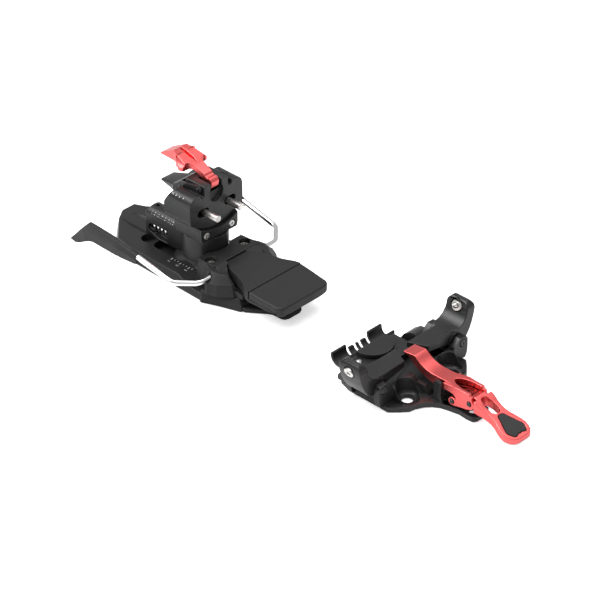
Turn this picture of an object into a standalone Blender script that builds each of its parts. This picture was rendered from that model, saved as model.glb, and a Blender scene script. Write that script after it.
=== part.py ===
"""Touring ski binding: a pin toe unit with a red lever, and a turning heel unit with a ski brake.

Metres, +Z up.  +X points to the ski's tip and +Y to the skier's left.  z = 0 is the ski's top
surface, y = 0 its centreline, and x = 0 lies at the toe pins.  The model stands with the toe jaws
open, the toe lever pressed down, the brake stowed and both climbing flaps folded to the rear.
"""
import math

import bmesh
import bpy
from mathutils import Matrix, Vector

MM = 0.001
GAP = 0.3 * MM
RUN = 0.3 * MM
SMOOTH_ANGLE = math.radians(35)

# Driving dimensions
COLUMN_X = -176 * MM
COLUMN_RADIUS = 15.25 * MM
COLUMN_TOP = 31 * MM
RAIL_HALF = 14 * MM
PLATE_TOP = 8 * MM
PLATE_SCREW = (-219.5, 9.5)
LENGTH_SCREW_Z = 5.2
RELEASE_Z = 15.2
TURRET_SCREW = (11, 35.4)

TOWER_REAR_X = -189 * MM
TOWER_FRONT_X = -165 * MM
BRIDGE_HALF = 10.4 * MM
BRIDGE_TOP = 70 * MM
GUTTER_FLOOR = 62.4 * MM
HEEL_PIN_RADIUS = 2.4 * MM
HEEL_PIN_Y = 10.2 * MM
HEEL_PIN_Z = 51.6 * MM
HEEL_PIN_TIP_X = -152.8 * MM
HEEL_PIN_PIVOT_X = -184 * MM
FLAP_AXIS = (-169.5 * MM, 67.4 * MM)
FLAP_PIN_RADIUS = 1.2 * MM

BRAKE_AXIS = (-146.5 * MM, 17.9 * MM)
BRAKE_SCREW = (-155.8, 15)
WIRE_RADIUS = 1.9 * MM
BRAKE_WIDTH_HALF = 47.2 * MM
PEDAL_PIN_RADIUS = 1.5 * MM

TOE_PLATE_TOP = 3.6 * MM
TOE_BOSS = (17, 18.8)
JAW_AXIS = (35.2 * MM, 14.6 * MM)
JAW_AXLE_RADIUS = 2.5 * MM
TOE_PIN_TIP = (41.1 * MM, 32.8 * MM)
TOE_PIN_SLOPE = math.radians(21.5)
TOE_PIN_X = -1 * MM
LEVER_AXIS = (42.3 * MM, 7 * MM)
HANDLE_AXIS = (55.8 * MM, 11.5 * MM)
LEVER_PIN_RADIUS = 1.5 * MM

BLACK = ("black_anodised", (0.035, 0.036, 0.038), 0.42, 0.6)
PLASTIC = ("black_plastic", (0.022, 0.022, 0.023), 0.55, 0.0)
RED = ("red_anodised", (0.72, 0.04, 0.035), 0.32, 0.85)
STEEL = ("polished_steel", (0.62, 0.60, 0.58), 0.22, 1.0)
CHROME = ("bright_wire", (0.80, 0.80, 0.80), 0.08, 1.0)
DARK_STEEL = ("dark_steel", (0.12, 0.12, 0.12), 0.4, 1.0)
RUBBER = ("black_rubber", (0.012, 0.012, 0.012), 0.75, 0.0)


def mm(*values):
    """Turn millimetre values into a tuple of metres."""
    return tuple(value * MM for value in values)


def points(*pairs):
    """Turn pairs in millimetres into a list of metre pairs."""
    return [mm(*pair) for pair in pairs]


def arc(centre, radius, start, end, steps):
    """Points on an arc, angles in degrees, both ends included."""
    angles = [math.radians(start + (end - start) * i / steps) for i in range(steps + 1)]
    return [(centre[0] + radius * math.cos(a), centre[1] + radius * math.sin(a)) for a in angles]


def both_sides(half):
    """Close an outline of (along, across) points with its mirror image in across = 0."""
    return half + [(a, -b) for a, b in reversed(half)]


def material(finish):
    """Fetch or make the Principled material of a finish (name, colour, roughness, metallic)."""
    name, colour, roughness, metallic = finish
    found = bpy.data.materials.get(name)
    if found:
        return found
    made = bpy.data.materials.new(name)
    made.use_nodes = True
    shader = made.node_tree.nodes["Principled BSDF"]
    shader.inputs["Base Color"].default_value = (*colour, 1)
    shader.inputs["Roughness"].default_value = roughness
    shader.inputs["Metallic"].default_value = metallic
    return made


def solid(bm, name="tool", finish=BLACK):
    """Make an object of a finished bmesh, with outward faces and smooth round parts."""
    bmesh.ops.remove_doubles(bm, verts=bm.verts, dist=1e-7)
    bmesh.ops.recalc_face_normals(bm, faces=bm.faces)
    mesh = bpy.data.meshes.new(name)
    bm.to_mesh(mesh)
    bm.free()
    mesh.shade_smooth()
    mesh.set_sharp_from_angle(angle=SMOOTH_ANGLE)
    made = bpy.data.objects.new(name, mesh)
    made.data.materials.append(material(finish))
    bpy.context.scene.collection.objects.link(made)
    return made


def prism(outline, low, high, plane="XY", name="tool", finish=BLACK):
    """Extrude an outline drawn in a plane from low to high along the third axis."""
    place = {"XY": lambda a, b: (a, b, low), "XZ": lambda a, b: (a, low, b), "YZ": lambda a, b: (low, a, b)}
    along = {"XY": Vector((0, 0, 1)), "XZ": Vector((0, 1, 0)), "YZ": Vector((1, 0, 0))}
    bm = bmesh.new()
    face = bm.faces.new([bm.verts.new(place[plane](a, b)) for a, b in outline])
    grown = bmesh.ops.extrude_face_region(bm, geom=[face])["geom"]
    moved = [v for v in grown if isinstance(v, bmesh.types.BMVert)]
    bmesh.ops.translate(bm, verts=moved, vec=along[plane] * (high - low))
    return solid(bm, name, finish)


def box(low, high, name="tool", finish=BLACK):
    """Make a box from its two corners."""
    outline = [(low[0], low[1]), (high[0], low[1]), (high[0], high[1]), (low[0], high[1])]
    return prism(outline, low[2], high[2], "XY", name, finish)


def loft(rings, name="tool", finish=BLACK):
    """Skin a list of rings with the same number of points, and cap both ends."""
    bm = bmesh.new()
    loops = [[bm.verts.new(p) for p in ring] for ring in rings]
    bm.faces.new(loops[0])
    bm.faces.new(loops[-1])
    for lower, upper in zip(loops, loops[1:]):
        for i in range(len(lower)):
            j = (i + 1) % len(lower)
            bm.faces.new((lower[i], lower[j], upper[j], upper[i]))
    return solid(bm, name, finish)


def rod(start, end, radius, sides=16, name="tool", finish=STEEL, end_radius=None):
    """Make a round rod, or a cone, between two points."""
    start, end = Vector(start), Vector(end)
    axis = end - start
    bm = bmesh.new()
    turn = axis.to_track_quat("Z", "Y").to_matrix().to_4x4()
    bmesh.ops.create_cone(bm, cap_ends=True, segments=sides, radius1=radius,
                          radius2=radius if end_radius is None else end_radius,
                          depth=axis.length, matrix=Matrix.Translation((start + end) / 2) @ turn)
    return solid(bm, name, finish)


def turned(profile, centre, sides=32, name="tool", finish=BLACK):
    """Turn a (radius, height) profile about a vertical axis and cap both ends."""
    rings = []
    for radius, height in profile:
        turn = [2 * math.pi * i / sides for i in range(sides)]
        rings.append([(centre[0] + radius * math.cos(a), centre[1] + radius * math.sin(a), height)
                      for a in turn])
    return loft(rings, name, finish)


def tube(path, radius, sides=8, name="tool", finish=CHROME):
    """Sweep a round section along a path of points, with flat ends."""
    path = [Vector(p) for p in path]
    rings = []
    side = None
    for i, point in enumerate(path):
        ahead = (path[min(i + 1, len(path) - 1)] - path[max(i - 1, 0)]).normalized()
        side = ahead.orthogonal() if side is None else side - ahead * side.dot(ahead)
        side.normalize()
        other = ahead.cross(side)
        turn = [2 * math.pi * k / sides for k in range(sides)]
        rings.append([point + radius * (math.cos(a) * side + math.sin(a) * other) for a in turn])
    return loft(rings, name, finish)


def rounded_path(corners, radius, steps=4):
    """Replace the inner corners of a path by short smooth curves."""
    corners = [Vector(c) for c in corners]
    path = [corners[0]]
    for before, corner, after in zip(corners, corners[1:], corners[2:]):
        enter = corner + (before - corner).normalized() * radius
        leave = corner + (after - corner).normalized() * radius
        for i in range(steps + 1):
            t = i / steps
            path.append(enter * (1 - t) ** 2 + corner * 2 * t * (1 - t) + leave * t ** 2)
    return path + [corners[-1]]


def combine(body, tool, operation):
    """Apply a Boolean of a tool object to a body, and remove the tool."""
    modifier = body.modifiers.new(operation.lower(), "BOOLEAN")
    modifier.operation = operation
    modifier.solver = "EXACT"
    modifier.object = tool
    with bpy.context.temp_override(object=body, active_object=body, selected_objects=[body]):
        bpy.ops.object.modifier_apply(modifier=modifier.name)
    bpy.data.objects.remove(tool)
    return body


def cut(body, *tools):
    """Take each tool away from a body."""
    for tool in tools:
        combine(body, tool, "DIFFERENCE")
    return body


def join(body, *tools):
    """Weld each tool to a body."""
    for tool in tools:
        combine(body, tool, "UNION")
    return body


def bore(x, z, radius, low_y, high_y, sides=16):
    """A cutter for a hole along Y."""
    return rod((x, low_y, z), (x, high_y, z), radius, sides)


def hinge_empty(name, location, parent=None):
    """An empty on a joint's axis, to carry the pieces that move about it."""
    empty = bpy.data.objects.new(name, None)
    empty.empty_display_size = 5 * MM
    bpy.context.scene.collection.objects.link(empty)
    empty.parent = parent
    offset = Vector(parent.get("place", (0, 0, 0))) if parent else Vector((0, 0, 0))
    empty.location = Vector(location) - offset
    empty["place"] = tuple(location)
    return empty


def mount(pieces, empty):
    """Hang pieces modelled in place on an empty, each with its origin on the empty."""
    place = Vector(empty["place"])
    for piece in pieces:
        piece.data.transform(Matrix.Translation(-place))
        piece.parent = empty


# ---------------------------------------------------------------- heel unit

def heel_plate():
    """Base plate with the rail channel of the length adjustment and its two rear screw holes."""
    foot = points((-257.6, 13.6), (-257.6, 2.2), (-252.2, -6.9), (-234, -26), (-152, -29), (-152, 29),
                  (-241, 27.2), (-250, 18))
    crown = points((-257, 13), (-257, 2.5), (-251.5, -5.9), (-233.5, -23.4), (-152, -26), (-152, 26),
                   (-240, 24.8), (-249, 16.6))
    rings = [[(x, y, z) for x, y in outline] for outline, z in ((foot, 0), (crown, PLATE_TOP))]
    plate = loft(rings, "heel_plate", BLACK)
    cut(plate, box((-212 * MM, -RAIL_HALF, 2.5 * MM), (-150 * MM, RAIL_HALF, 12 * MM)))
    cut(plate, rod(mm(-262, 0, LENGTH_SCREW_Z), mm(-205, 0, LENGTH_SCREW_Z), 2.3 * MM))
    cut(plate, rod(mm(-262, 0, LENGTH_SCREW_Z), mm(-249.5, 0, LENGTH_SCREW_Z), 2.6 * MM))
    x, y = PLATE_SCREW
    for side in (-1, 1):
        cut(plate, rod(mm(x, y * side, 3.5), mm(x, y * side, 12), 4.8 * MM, 20))
        cut(plate, rod(mm(x, y * side, -1), mm(x, y * side, 6), 2.8 * MM))
    return plate


def length_screw():
    """Long screw that moves the heel along the plate."""
    z = LENGTH_SCREW_Z
    screw = rod(mm(-252.4, 0, z), mm(-249.8, 0, z), 2.3 * MM, 16, "length_screw", DARK_STEEL)
    return join(screw, rod(mm(-249.9, 0, z), mm(-160, 0, z), 2 * MM, 12))


def column_shape(clearance):
    """Column with its flared ring, grown by a clearance."""
    profile = points((20.5, 7.6), (20.5, 8.3), (18, 9.6), (16.3, 12)) + [(COLUMN_RADIUS, 16 * MM)]
    grown = [(r + clearance, z + clearance * 0.5) for r, z in profile]
    return turned(grown + [(COLUMN_RADIUS + clearance, COLUMN_TOP + clearance)], (COLUMN_X, 0), 48)


def carriage():
    """Sliding foot with a flared ring and the hollow column that the tower turns on."""
    foot = box((-200 * MM, -RAIL_HALF + GAP, 2.8 * MM), (-158.5 * MM, RAIL_HALF - GAP, 7.8 * MM),
               "carriage", BLACK)
    flare_flats = box((-210 * MM, -RAIL_HALF, 7 * MM), (-140 * MM, RAIL_HALF, 12 * MM))
    ring = combine(column_shape(0), flare_flats, "INTERSECT")
    core = rod((COLUMN_X, 0, 11.9 * MM), (COLUMN_X, 0, COLUMN_TOP), COLUMN_RADIUS, 48)
    join(foot, ring, core)
    cut(foot, rod((COLUMN_X, 0, 10 * MM), (COLUMN_X, 0, 40 * MM), 7.4 * MM, 24))
    cut(foot, rod(mm(-205, 0, LENGTH_SCREW_Z), mm(-150, 0, LENGTH_SCREW_Z), 2.3 * MM, 12))
    return foot


def spring_housing():
    """Arched barrel behind the column with a window over the side release spring."""
    half, crown_z = 6.9, 22.2
    arch = [(half * MM, 9 * MM)] + arc(mm(0, crown_z), half * MM, 0, 180, 12) + [(-half * MM, 9 * MM)]
    housing = prism(arch, -224.6 * MM, -188 * MM, "YZ", "spring_housing", BLACK)
    cut(housing, column_shape(GAP + 0.1 * MM))
    cut(housing, rod(mm(-230, 0, RELEASE_Z), mm(-185, 0, RELEASE_Z), 5.2 * MM, 20))
    cut(housing, box(mm(-221.5, -8, 10.4), mm(-204.3, -3, 16.8)))
    cut(housing, rod(mm(-219.4, 0, 25), mm(-219.4, 0, 32), 1.2 * MM, 12))
    return housing


def release_coil():
    """Coil of the side release spring."""
    turns, steps = 6, 12
    path = []
    for i in range(turns * steps + 1):
        angle = 2 * math.pi * i / steps
        x = (-219.4 + 3.1 * i / steps) * MM
        path.append((x, 3.9 * MM * math.cos(angle), RELEASE_Z * MM + 3.9 * MM * math.sin(angle)))
    return tube(path, 0.75 * MM, 6, "release_spring", STEEL)


def release_screw():
    """Slotted screw that loads the side release spring from the rear."""
    z = RELEASE_Z
    screw = rod(mm(-225, 0, z), mm(-220.6, 0, z), 4.9 * MM, 20, "release_screw", DARK_STEEL)
    return cut(screw, box(mm(-226, -3.6, z - 0.6), mm(-224, 3.6, z + 0.6)))


def release_piston():
    """Round piston that the side release spring presses on the column."""
    z = RELEASE_Z
    piston = rod(mm(-199.6, 0, z), mm(-190, 0, z), 4.9 * MM, 20, "release_piston", DARK_STEEL)
    return cut(piston, column_shape(GAP + 0.1 * MM))


def turret_base():
    """Block that turns on the column and cradles the tower, with the spindle's socket."""
    centre_z, radius = 70.4 * MM, 32.8 * MM + GAP
    half_y = 16.8 * MM
    angle = math.degrees(math.asin(half_y / radius))
    cradle = arc((0, centre_z), radius, -90 + angle, -90 - angle, 10)
    outline = cradle + points((-15.3, 31.3), (15.3, 31.3))
    base = prism(outline, -188 * MM, -162.8 * MM, "YZ", "turret_base", BLACK)
    cut(base, rod((COLUMN_X, 0, 20 * MM), (COLUMN_X, 0, 36 * MM), 7.4 * MM, 24))
    y, z = TURRET_SCREW
    for side in (-1, 1):
        cut(base, rod(mm(-166, y * side, z), mm(-160, y * side, z), 2.8 * MM))
        cut(base, rod(mm(-170, y * side, z), mm(-160, y * side, z), 1.8 * MM, 12))
    return base


def turret_spindle():
    """Round spindle that the turret turns on, inside the column."""
    return rod((COLUMN_X, 0, 10.4 * MM), (COLUMN_X, 0, 35.6 * MM), 7 * MM, 24, "turret_spindle", STEEL)


def turret_screw(side, name):
    """Socket screw in the front of the turret base."""
    y, z = TURRET_SCREW[0] * side, TURRET_SCREW[1]
    screw = rod(mm(-165.6, y, z), mm(-162.4, y, z), 2.5 * MM, 16, name, STEEL)
    join(screw, rod(mm(-169.5, y, z), mm(-165.5, y, z), 1.5 * MM, 12))
    return cut(screw, rod(mm(-164, y, z), mm(-162, y, z), 1.2 * MM, 6))


def heel_tower():
    """Tower with two rounded shoulders, a central bridge, pin slots and a notch for the flap."""
    belly = arc(mm(0, 70.4), 32.8 * MM, -90, -53, 8)
    shoulder = points((23.3, 48.5), (23.3, 59), (21, 62.5), (17.5, 65.3), (14.6, 65.6), (13.4, 64.6))
    crown = [(13.2 * MM, GUTTER_FLOOR), (BRIDGE_HALF, GUTTER_FLOOR), (BRIDGE_HALF, BRIDGE_TOP)]
    half = belly + shoulder + crown
    outline = half + [(-y, z) for y, z in reversed(half[1:])]
    tower = prism(outline, TOWER_REAR_X, TOWER_FRONT_X, "YZ", "heel_tower", BLACK)
    rear = points((-190, 54.8), (-182, 66.2), (-182, 75), (-195, 75), (-195, 54.8))
    cut(tower, prism(rear, -30 * MM, 30 * MM, "XZ"))
    for side in (-1, 1):
        inner, outer = sorted((7.1 * MM * side, 16.6 * MM * side))
        cut(tower, box((-187 * MM, inner, 48.9 * MM), (-160 * MM, outer, 54.3 * MM)))
    cut(tower, box(mm(-176.4, -5, 64), mm(-160, 5, 80)), box(mm(-172, -5, 62.6), mm(-160, 5, 66)))
    cut(tower, bore(*FLAP_AXIS, FLAP_PIN_RADIUS + RUN, -14 * MM, 14 * MM))
    cut(tower, rod(mm(-179.4, 0, 64), mm(-179.4, 0, 72), 1.6 * MM, 12))
    return tower


def heel_pin(side, name):
    """Steel pin that holds the boot heel, with a chamfered tip."""
    y = HEEL_PIN_Y * side
    pin = rod((-186.5 * MM, y, HEEL_PIN_Z), (HEEL_PIN_TIP_X - 0.6 * MM, y, HEEL_PIN_Z), HEEL_PIN_RADIUS,
              16, name, STEEL)
    return join(pin, rod((HEEL_PIN_TIP_X - 0.7 * MM, y, HEEL_PIN_Z), (HEEL_PIN_TIP_X, y, HEEL_PIN_Z),
                         HEEL_PIN_RADIUS - 0.05 * MM, 16, end_radius=HEEL_PIN_RADIUS - 0.6 * MM))


def heel_buffer(side, name):
    """Short spring block that closes a heel pin again."""
    inner, outer = 14 * MM * side, 16.3 * MM * side
    return rod((-180 * MM, inner, HEEL_PIN_Z), (-180 * MM, outer, HEEL_PIN_Z), 2 * MM, 12, name, DARK_STEEL)


def flap_pin():
    """Cross pin that both climbing flaps turn on."""
    x, z = FLAP_AXIS
    return rod((x, -12.9 * MM, z), (x, 12.9 * MM, z), FLAP_PIN_RADIUS, 12, "flap_pin", DARK_STEEL)


def flap_section(x, half, low, high):
    """One cross-section of a flap, with its upper edges chamfered."""
    edge = min(0.8, (high - low) / 3)
    corners = ((-half, low), (half, low), (half, high - edge), (half - edge, high),
               (-half + edge, high), (-half, high - edge))
    return [mm(x, y, z) for y, z in corners]


def red_flap():
    """Upper climbing flap: nose in the bridge notch, narrow neck, side ears and a wedge tip."""
    sections = [(-166.3, 4.6, 65.9, 68.8), (-169.5, 4.6, 64.9, 72.0), (-172.6, 4.6, 67.2, 74.0),
                (-176.2, 4.6, 70.9, 75.4), (-182, 4.8, 73.0, 77.7), (-184, 9.8, 72.6, 78.3),
                (-190.5, 10.2, 72.8, 79.5), (-192.5, 7.2, 73.8, 80.0), (-197.2, 6.4, 74.6, 81.6),
                (-209.9, 5.9, 74.4, 75.4)]
    flap = loft([flap_section(*s) for s in sections], "red_flap", RED)
    return cut(flap, bore(*FLAP_AXIS, FLAP_PIN_RADIUS + RUN, -8 * MM, 8 * MM))


def black_flap():
    """Lower climbing flap: a wedge blade on two arms that straddle the bridge."""
    blade = [(-210, 6.2, 54.7, 55.5), (-197.3, 9.5, 54.9, 59.3), (-191.6, 12.6, 57.6, 62.4),
             (-190.4, 12.6, 58.0, 62.8)]
    flap = loft([flap_section(*s) for s in blade], "black_flap", BLACK)
    side_view = points((-191.6, 58), (-190.2, 58), (-184.9, 63.7), (-171, 64.4), (-168.6, 64.6),
                       (-166.9, 66.2), (-166.9, 68.6), (-168.5, 70.1), (-172, 70.1), (-184, 67.4),
                       (-191.6, 62.2))
    for low, high in ((10.8, 12.6), (-12.6, -10.8)):
        join(flap, prism(side_view, low * MM, high * MM, "XZ"))
    return cut(flap, bore(*FLAP_AXIS, FLAP_PIN_RADIUS + RUN, -20 * MM, 20 * MM))


# ---------------------------------------------------------------- ski brake

def brake_plate():
    """Lower brake body that tapers to a thin tongue under the pedal."""
    foot = points((-151.7, 29.5), (-149, 30), (-137.7, 25.4), (-122.9, 20.5))
    crown = points((-151.7, 28), (-149, 28.2), (-138.5, 24), (-124, 19.3))
    rings = [[(x, y, z) for x, y in both_sides(half)] for half, z in ((foot, 0), (crown, 7.9 * MM))]
    plate = loft(rings, "brake_plate", PLASTIC)
    tongue = points((-124, 19.5), (-108, 9), (-99, 8), (-96.5, 5))
    join(plate, prism(both_sides(tongue), 0, 3 * MM))
    cut(plate, rod(mm(-103, 0, -1), mm(-103, 0, 5), 2.6 * MM))
    return plate


def brake_base():
    """Upper brake body: wraps the column's front, and holds the screws, wires and pedal pin."""
    side_view = points((-163.5, 8.3), (-123, 8.3), (-123, 12), (-140, 13.4), (-150.6, 13.4), (-151.5, 22),
                       (-163.5, 22))
    base = prism(side_view, -19.1 * MM, 19.1 * MM, "XZ", "brake_base", PLASTIC)
    cheek = points((-163, 8.3), (-130.5, 8.3), (-133, 14.5), (-141, 21.6), (-152, 22), (-158, 19))
    plan = points((-163, 18.9), (-163, 20), (-152, 27), (-138, 27.2), (-130.5, 21), (-130.5, 18.9))
    screw_x, screw_y = BRAKE_SCREW
    for side in (-1, 1):
        wall = prism(cheek, *sorted((18.6 * MM * side, 28 * MM * side)), "XZ")
        combine(wall, prism([(x, y * side) for x, y in plan], 5 * MM, 25 * MM), "INTERSECT")
        join(base, wall)
        cut(base, bore(*BRAKE_AXIS, WIRE_RADIUS + RUN, *sorted((19.6 * MM * side, 29 * MM * side)), 12))
        cut(base, rod(mm(screw_x, screw_y * side, 17), mm(screw_x, screw_y * side, 25), 3.6 * MM, 20))
        cut(base, rod(mm(screw_x, screw_y * side, 5), mm(screw_x, screw_y * side, 25), 2.3 * MM, 12))
    cut(base, column_shape(0.8 * MM))
    return base


def brake_screw(side, name):
    """Socket screw that fastens the brake."""
    place = mm(BRAKE_SCREW[0], BRAKE_SCREW[1] * side)
    screw = rod((*place, 17.3 * MM), (*place, 20.2 * MM), 3.2 * MM, 16, name, STEEL)
    join(screw, rod((*place, 8.8 * MM), (*place, 17.4 * MM), 2 * MM, 12))
    return cut(screw, rod((*place, 18.6 * MM), (*place, 21 * MM), 1.5 * MM, 6))


def pedal_pin():
    """Cross pin of the brake pedal."""
    x, z = BRAKE_AXIS
    return rod((x, -18.7 * MM, z), (x, 18.7 * MM, z), PEDAL_PIN_RADIUS, 12, "pedal_pin", DARK_STEEL)


def brake_spring():
    """Wound spring on the pedal pin that lifts the pedal and lowers the arms."""
    x, z = BRAKE_AXIS
    coil = rod((x, -4.6 * MM, z), (x, 4.6 * MM, z), 2.8 * MM, 16, "brake_spring", DARK_STEEL)
    return cut(coil, bore(x, z, PEDAL_PIN_RADIUS + RUN, -6 * MM, 6 * MM))


def brake_pedal():
    """Foot plate carrier that turns on the pedal pin, waisted behind and wide in front."""
    x, z = BRAKE_AXIS
    knuckle = arc((x, z), 3 * MM, 90, 250, 8)
    front = points((-143.5, 15.2), (-124, 14.2), (-91, 13), (-91, 15.2), (-113.8, 15.8), (-113.8, 21),
                   (-127, 22), (-140, 22.4))
    pedal = prism(knuckle + front, -25 * MM, 25 * MM, "XZ", "brake_pedal", PLASTIC)
    plan = points((-150, 9), (-145.5, 9), (-139, 12), (-127, 16.4), (-118.5, 22), (-113.8, 23.4), (-91, 20.5))
    combine(pedal, prism(both_sides(plan), 5 * MM, 30 * MM), "INTERSECT")
    cut(pedal, bore(x, z, PEDAL_PIN_RADIUS + RUN, -25 * MM, 25 * MM, 12))
    return cut(pedal, box((-151 * MM, -5 * MM, 10 * MM), (x + 3.4 * MM, 5 * MM, 25 * MM)))


def pedal_pad():
    """Smooth pad on the front of the pedal."""
    pad = points((-113.4, 23.5), (-92, 22.4), (-88.3, 20.6), (-86.3, 17))
    plan = both_sides(pad)
    rings = []
    for inset, low_z, high_z in ((0, 16.2, 14.0), (0, 20.3, 18.4), (0.8, 21.1, 19.2)):
        ring = []
        for x, y in plan:
            t = (x / MM + 113.4) / 27.1
            ring.append((min(x, -86.3 * MM - inset * MM), y - math.copysign(inset * MM, y),
                         (low_z + (high_z - low_z) * t) * MM))
        rings.append(ring)
    pad = loft(rings, "pedal_pad", PLASTIC)
    return cut(pad, prism(points((-120, 8), (-80, 8), (-80, 15.0), (-113.8, 16.1), (-120, 16.1)),
                          -30 * MM, 30 * MM, "XZ"))


def brake_arm(side, name):
    """Bright bent wire from the brake base to the arm's plastic tip."""
    x, z = BRAKE_AXIS
    corners = [(x, 20 * MM * side, z), (x, 33.6 * MM * side, z), mm(-158.1, 45.8 * side, 18.4),
               (-188 * MM, BRAKE_WIDTH_HALF * side, 24.3 * MM)]
    return tube(rounded_path(corners, 3 * MM), WIRE_RADIUS, 10, name, CHROME)


def brake_tip(side, name):
    """Plastic shovel at the end of a brake arm."""
    side_view = points((-188.4, 20.4), (-188.4, 26), (-207, 30.2), (-232.5, 31.6), (-242, 22.6),
                       (-251.7, 11.3), (-245.7, 10.2), (-236, 16.6), (-228.6, 18.4), (-205, 18.2))
    tip = prism(side_view, *sorted((44.6 * MM * side, 49.8 * MM * side)), "XZ", name, PLASTIC)
    taper = points((-188, 44.9), (-188, 49.5), (-230, 50), (-252, 48), (-252, 46), (-230, 44.4))
    return combine(tip, prism([(x, y * side) for x, y in taper], 0, 40 * MM), "INTERSECT")


# ---------------------------------------------------------------- toe unit

def toe_base():
    """Toe plate with screw bosses, jaw axle walls, a raised deck, lever lug and two guide posts."""
    half = points((-31, 20), (-25, 32.4), (-16, 35), (16.3, 35), (25.3, 25.8), (25.5, 21.5), (30.5, 13),
                  (40.4, 8.8), (48.3, 7), (54.4, 7.8), (59.7, 7.2), (61, 4))
    base = prism(both_sides(half), 0, TOE_PLATE_TOP, "XY", "toe_base", BLACK)
    wall = points((24, 3), (38.2, 3), (39.8, 9), (39.8, 16), (37.4, 19.4), (33, 19.4), (28, 14), (24, 8))
    deck = points((-31, 3), (-10.2, 3), (-10.2, 8.6), (-31, 8.6))
    shoulder = points((-27, 3), (-14, 3), (-14, 13), (-20, 13), (-27, 8))
    hub = points((9, 3), (24.5, 3), (22, 9.5), (12, 9.5), (9, 8))
    lug = points((24, 3), (50, 3), (46, 6), (45.1, 7.4)) + arc(LEVER_AXIS, 3.1 * MM, 10, 150, 6)
    lug += points((38, 6.2), (24, 6.2))
    post = points((28.5, 3), (36.5, 3), (35, 8), (35, 17.6), (29.6, 16.6), (29.6, 8))
    join(base, prism(deck, -20 * MM, 20 * MM, "XZ"), prism(hub, -9 * MM, 9 * MM, "XZ"))
    join(base, prism(lug, -4.6 * MM, 4.6 * MM, "XZ"))
    for side in (-1, 1):
        turned_wall = [(y * side, z) for y, z in wall]
        join(base, prism(turned_wall, 8.6 * MM, 13.2 * MM, "YZ"))
        join(base, prism(turned_wall, -14.2 * MM, -9.7 * MM, "YZ"))
        join(base, prism(shoulder, *sorted((23 * MM * side, 34 * MM * side)), "XZ"))
        join(base, prism(post, *sorted((7.6 * MM * side, 9.4 * MM * side)), "XZ"))
        boss_x, boss_y = TOE_BOSS[0], TOE_BOSS[1] * side
        join(base, rod(mm(boss_x, boss_y, 3), mm(boss_x, boss_y, 6.4), 6.6 * MM, 24))
        cut(base, rod(mm(boss_x, boss_y, 3.2), mm(boss_x, boss_y, 9), 4.9 * MM, 20))
        cut(base, rod(mm(boss_x, boss_y, -1), mm(boss_x, boss_y, 9), 3.4 * MM, 20))
        y, z = JAW_AXIS
        cut(base, rod((-15 * MM, y * side, z), (15 * MM, y * side, z), JAW_AXLE_RADIUS + RUN, 16))
    cut(base, box(mm(-18.7, -20.5, 3.7), mm(-13.3, 20.5, 9)), box(mm(8, -5.8, 6), mm(25.5, 5.8, 12)))
    cut(base, rod(mm(53.6, 0, -1), mm(53.6, 0, 9), 3 * MM, 20))
    cut(base, bore(*LEVER_AXIS, LEVER_PIN_RADIUS + RUN, -6 * MM, 6 * MM))
    return base


def boot_rest():
    """Half-round plate under the boot's toe, on the raised deck."""
    rim = arc(mm(-29, 0), 13.4 * MM, -85, 85, 16)
    outline = [(-30.7 * MM, -13.4 * MM)] + rim + [(-30.7 * MM, 13.4 * MM)]
    return prism(outline, 8.9 * MM, 11.8 * MM, "XY", "boot_rest", PLASTIC)


def crampon_clip():
    """Two open channels and three small hooks that take a ski crampon's hinge bar."""
    centre, outer, inner = mm(-37.6, 7.2), 6.2 * MM, 4.4 * MM
    channel = arc(centre, outer, 175, 368, 16) + arc(centre, inner, 368, 175, 16)
    clip = box(mm(-33.4, -22.3, 1.2), mm(-31.3, 22.3, 8.4), "crampon_clip", PLASTIC)
    for side in (-1, 1):
        join(clip, prism(channel, *sorted((9.8 * MM * side, 22.3 * MM * side)), "XZ"))
    hook = arc(centre, outer, 215, 350, 10) + arc(centre, inner, 350, 215, 10)
    for y in (-5.6, -0.8, 4.0):
        join(clip, prism(hook, y * MM, (y + 1.6) * MM, "XZ"))
    return clip


def toe_jaw(side, name):
    """Jaw with a flat wing, a barrel on its axle and an upright arm that carries the toe pin."""
    y, z = JAW_AXIS
    plan = points((-6, 5.4), (7, 10.8), (8.2, 31), (8.2, 38), (-7.5, 38), (-7.5, 31))
    jaw = prism([(a, b * side) for a, b in plan], 12 * MM, 26 * MM, "XY", name, BLACK)
    wing = points((5, 17.4), (30, 15), (38, 15), (38, 21.5), (31, 21.2), (5, 20.6))
    combine(jaw, prism([(a * side, b) for a, b in wing], -12 * MM, 12 * MM, "YZ"), "INTERSECT")
    join(jaw, rod((-9.3 * MM, y * side, z), (8.3 * MM, y * side, z), 6.2 * MM, 24))
    side_view = points((41, 10.6), (46.8, 16.8), (49.4, 22), (51.6, 31.6), (51.2, 36.4), (48.6, 39.4),
                       (45.6, 39), (44.6, 36), (44.4, 30), (42, 25), (38, 21.6), (34, 20.8), (33, 14))
    arm = prism([(a * side, b) for a, b in side_view], -9.3 * MM, 8.3 * MM, "YZ")
    front_view = points((-9.3, 8), (8.3, 8), (8.3, 30)) + arc(mm(-0.5, 31), 8.8 * MM, 0, 180, 12)
    combine(arm, prism(front_view, -60 * MM, 60 * MM, "XZ"), "INTERSECT")
    join(jaw, arm)
    cut(jaw, rod((-15 * MM, y * side, z), (15 * MM, y * side, z), JAW_AXLE_RADIUS + RUN, 16))
    cut(jaw, rod(pin_point(side, -6), pin_point(side, 16), 2.3 * MM, 12))
    cut(jaw, rod(pin_point(side, 9.4), pin_point(side, 16), 4 * MM, 16))
    return cut(jaw, rod(pin_point(side, -1), pin_point(side, 5.2), 4.3 * MM, 16))


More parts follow.
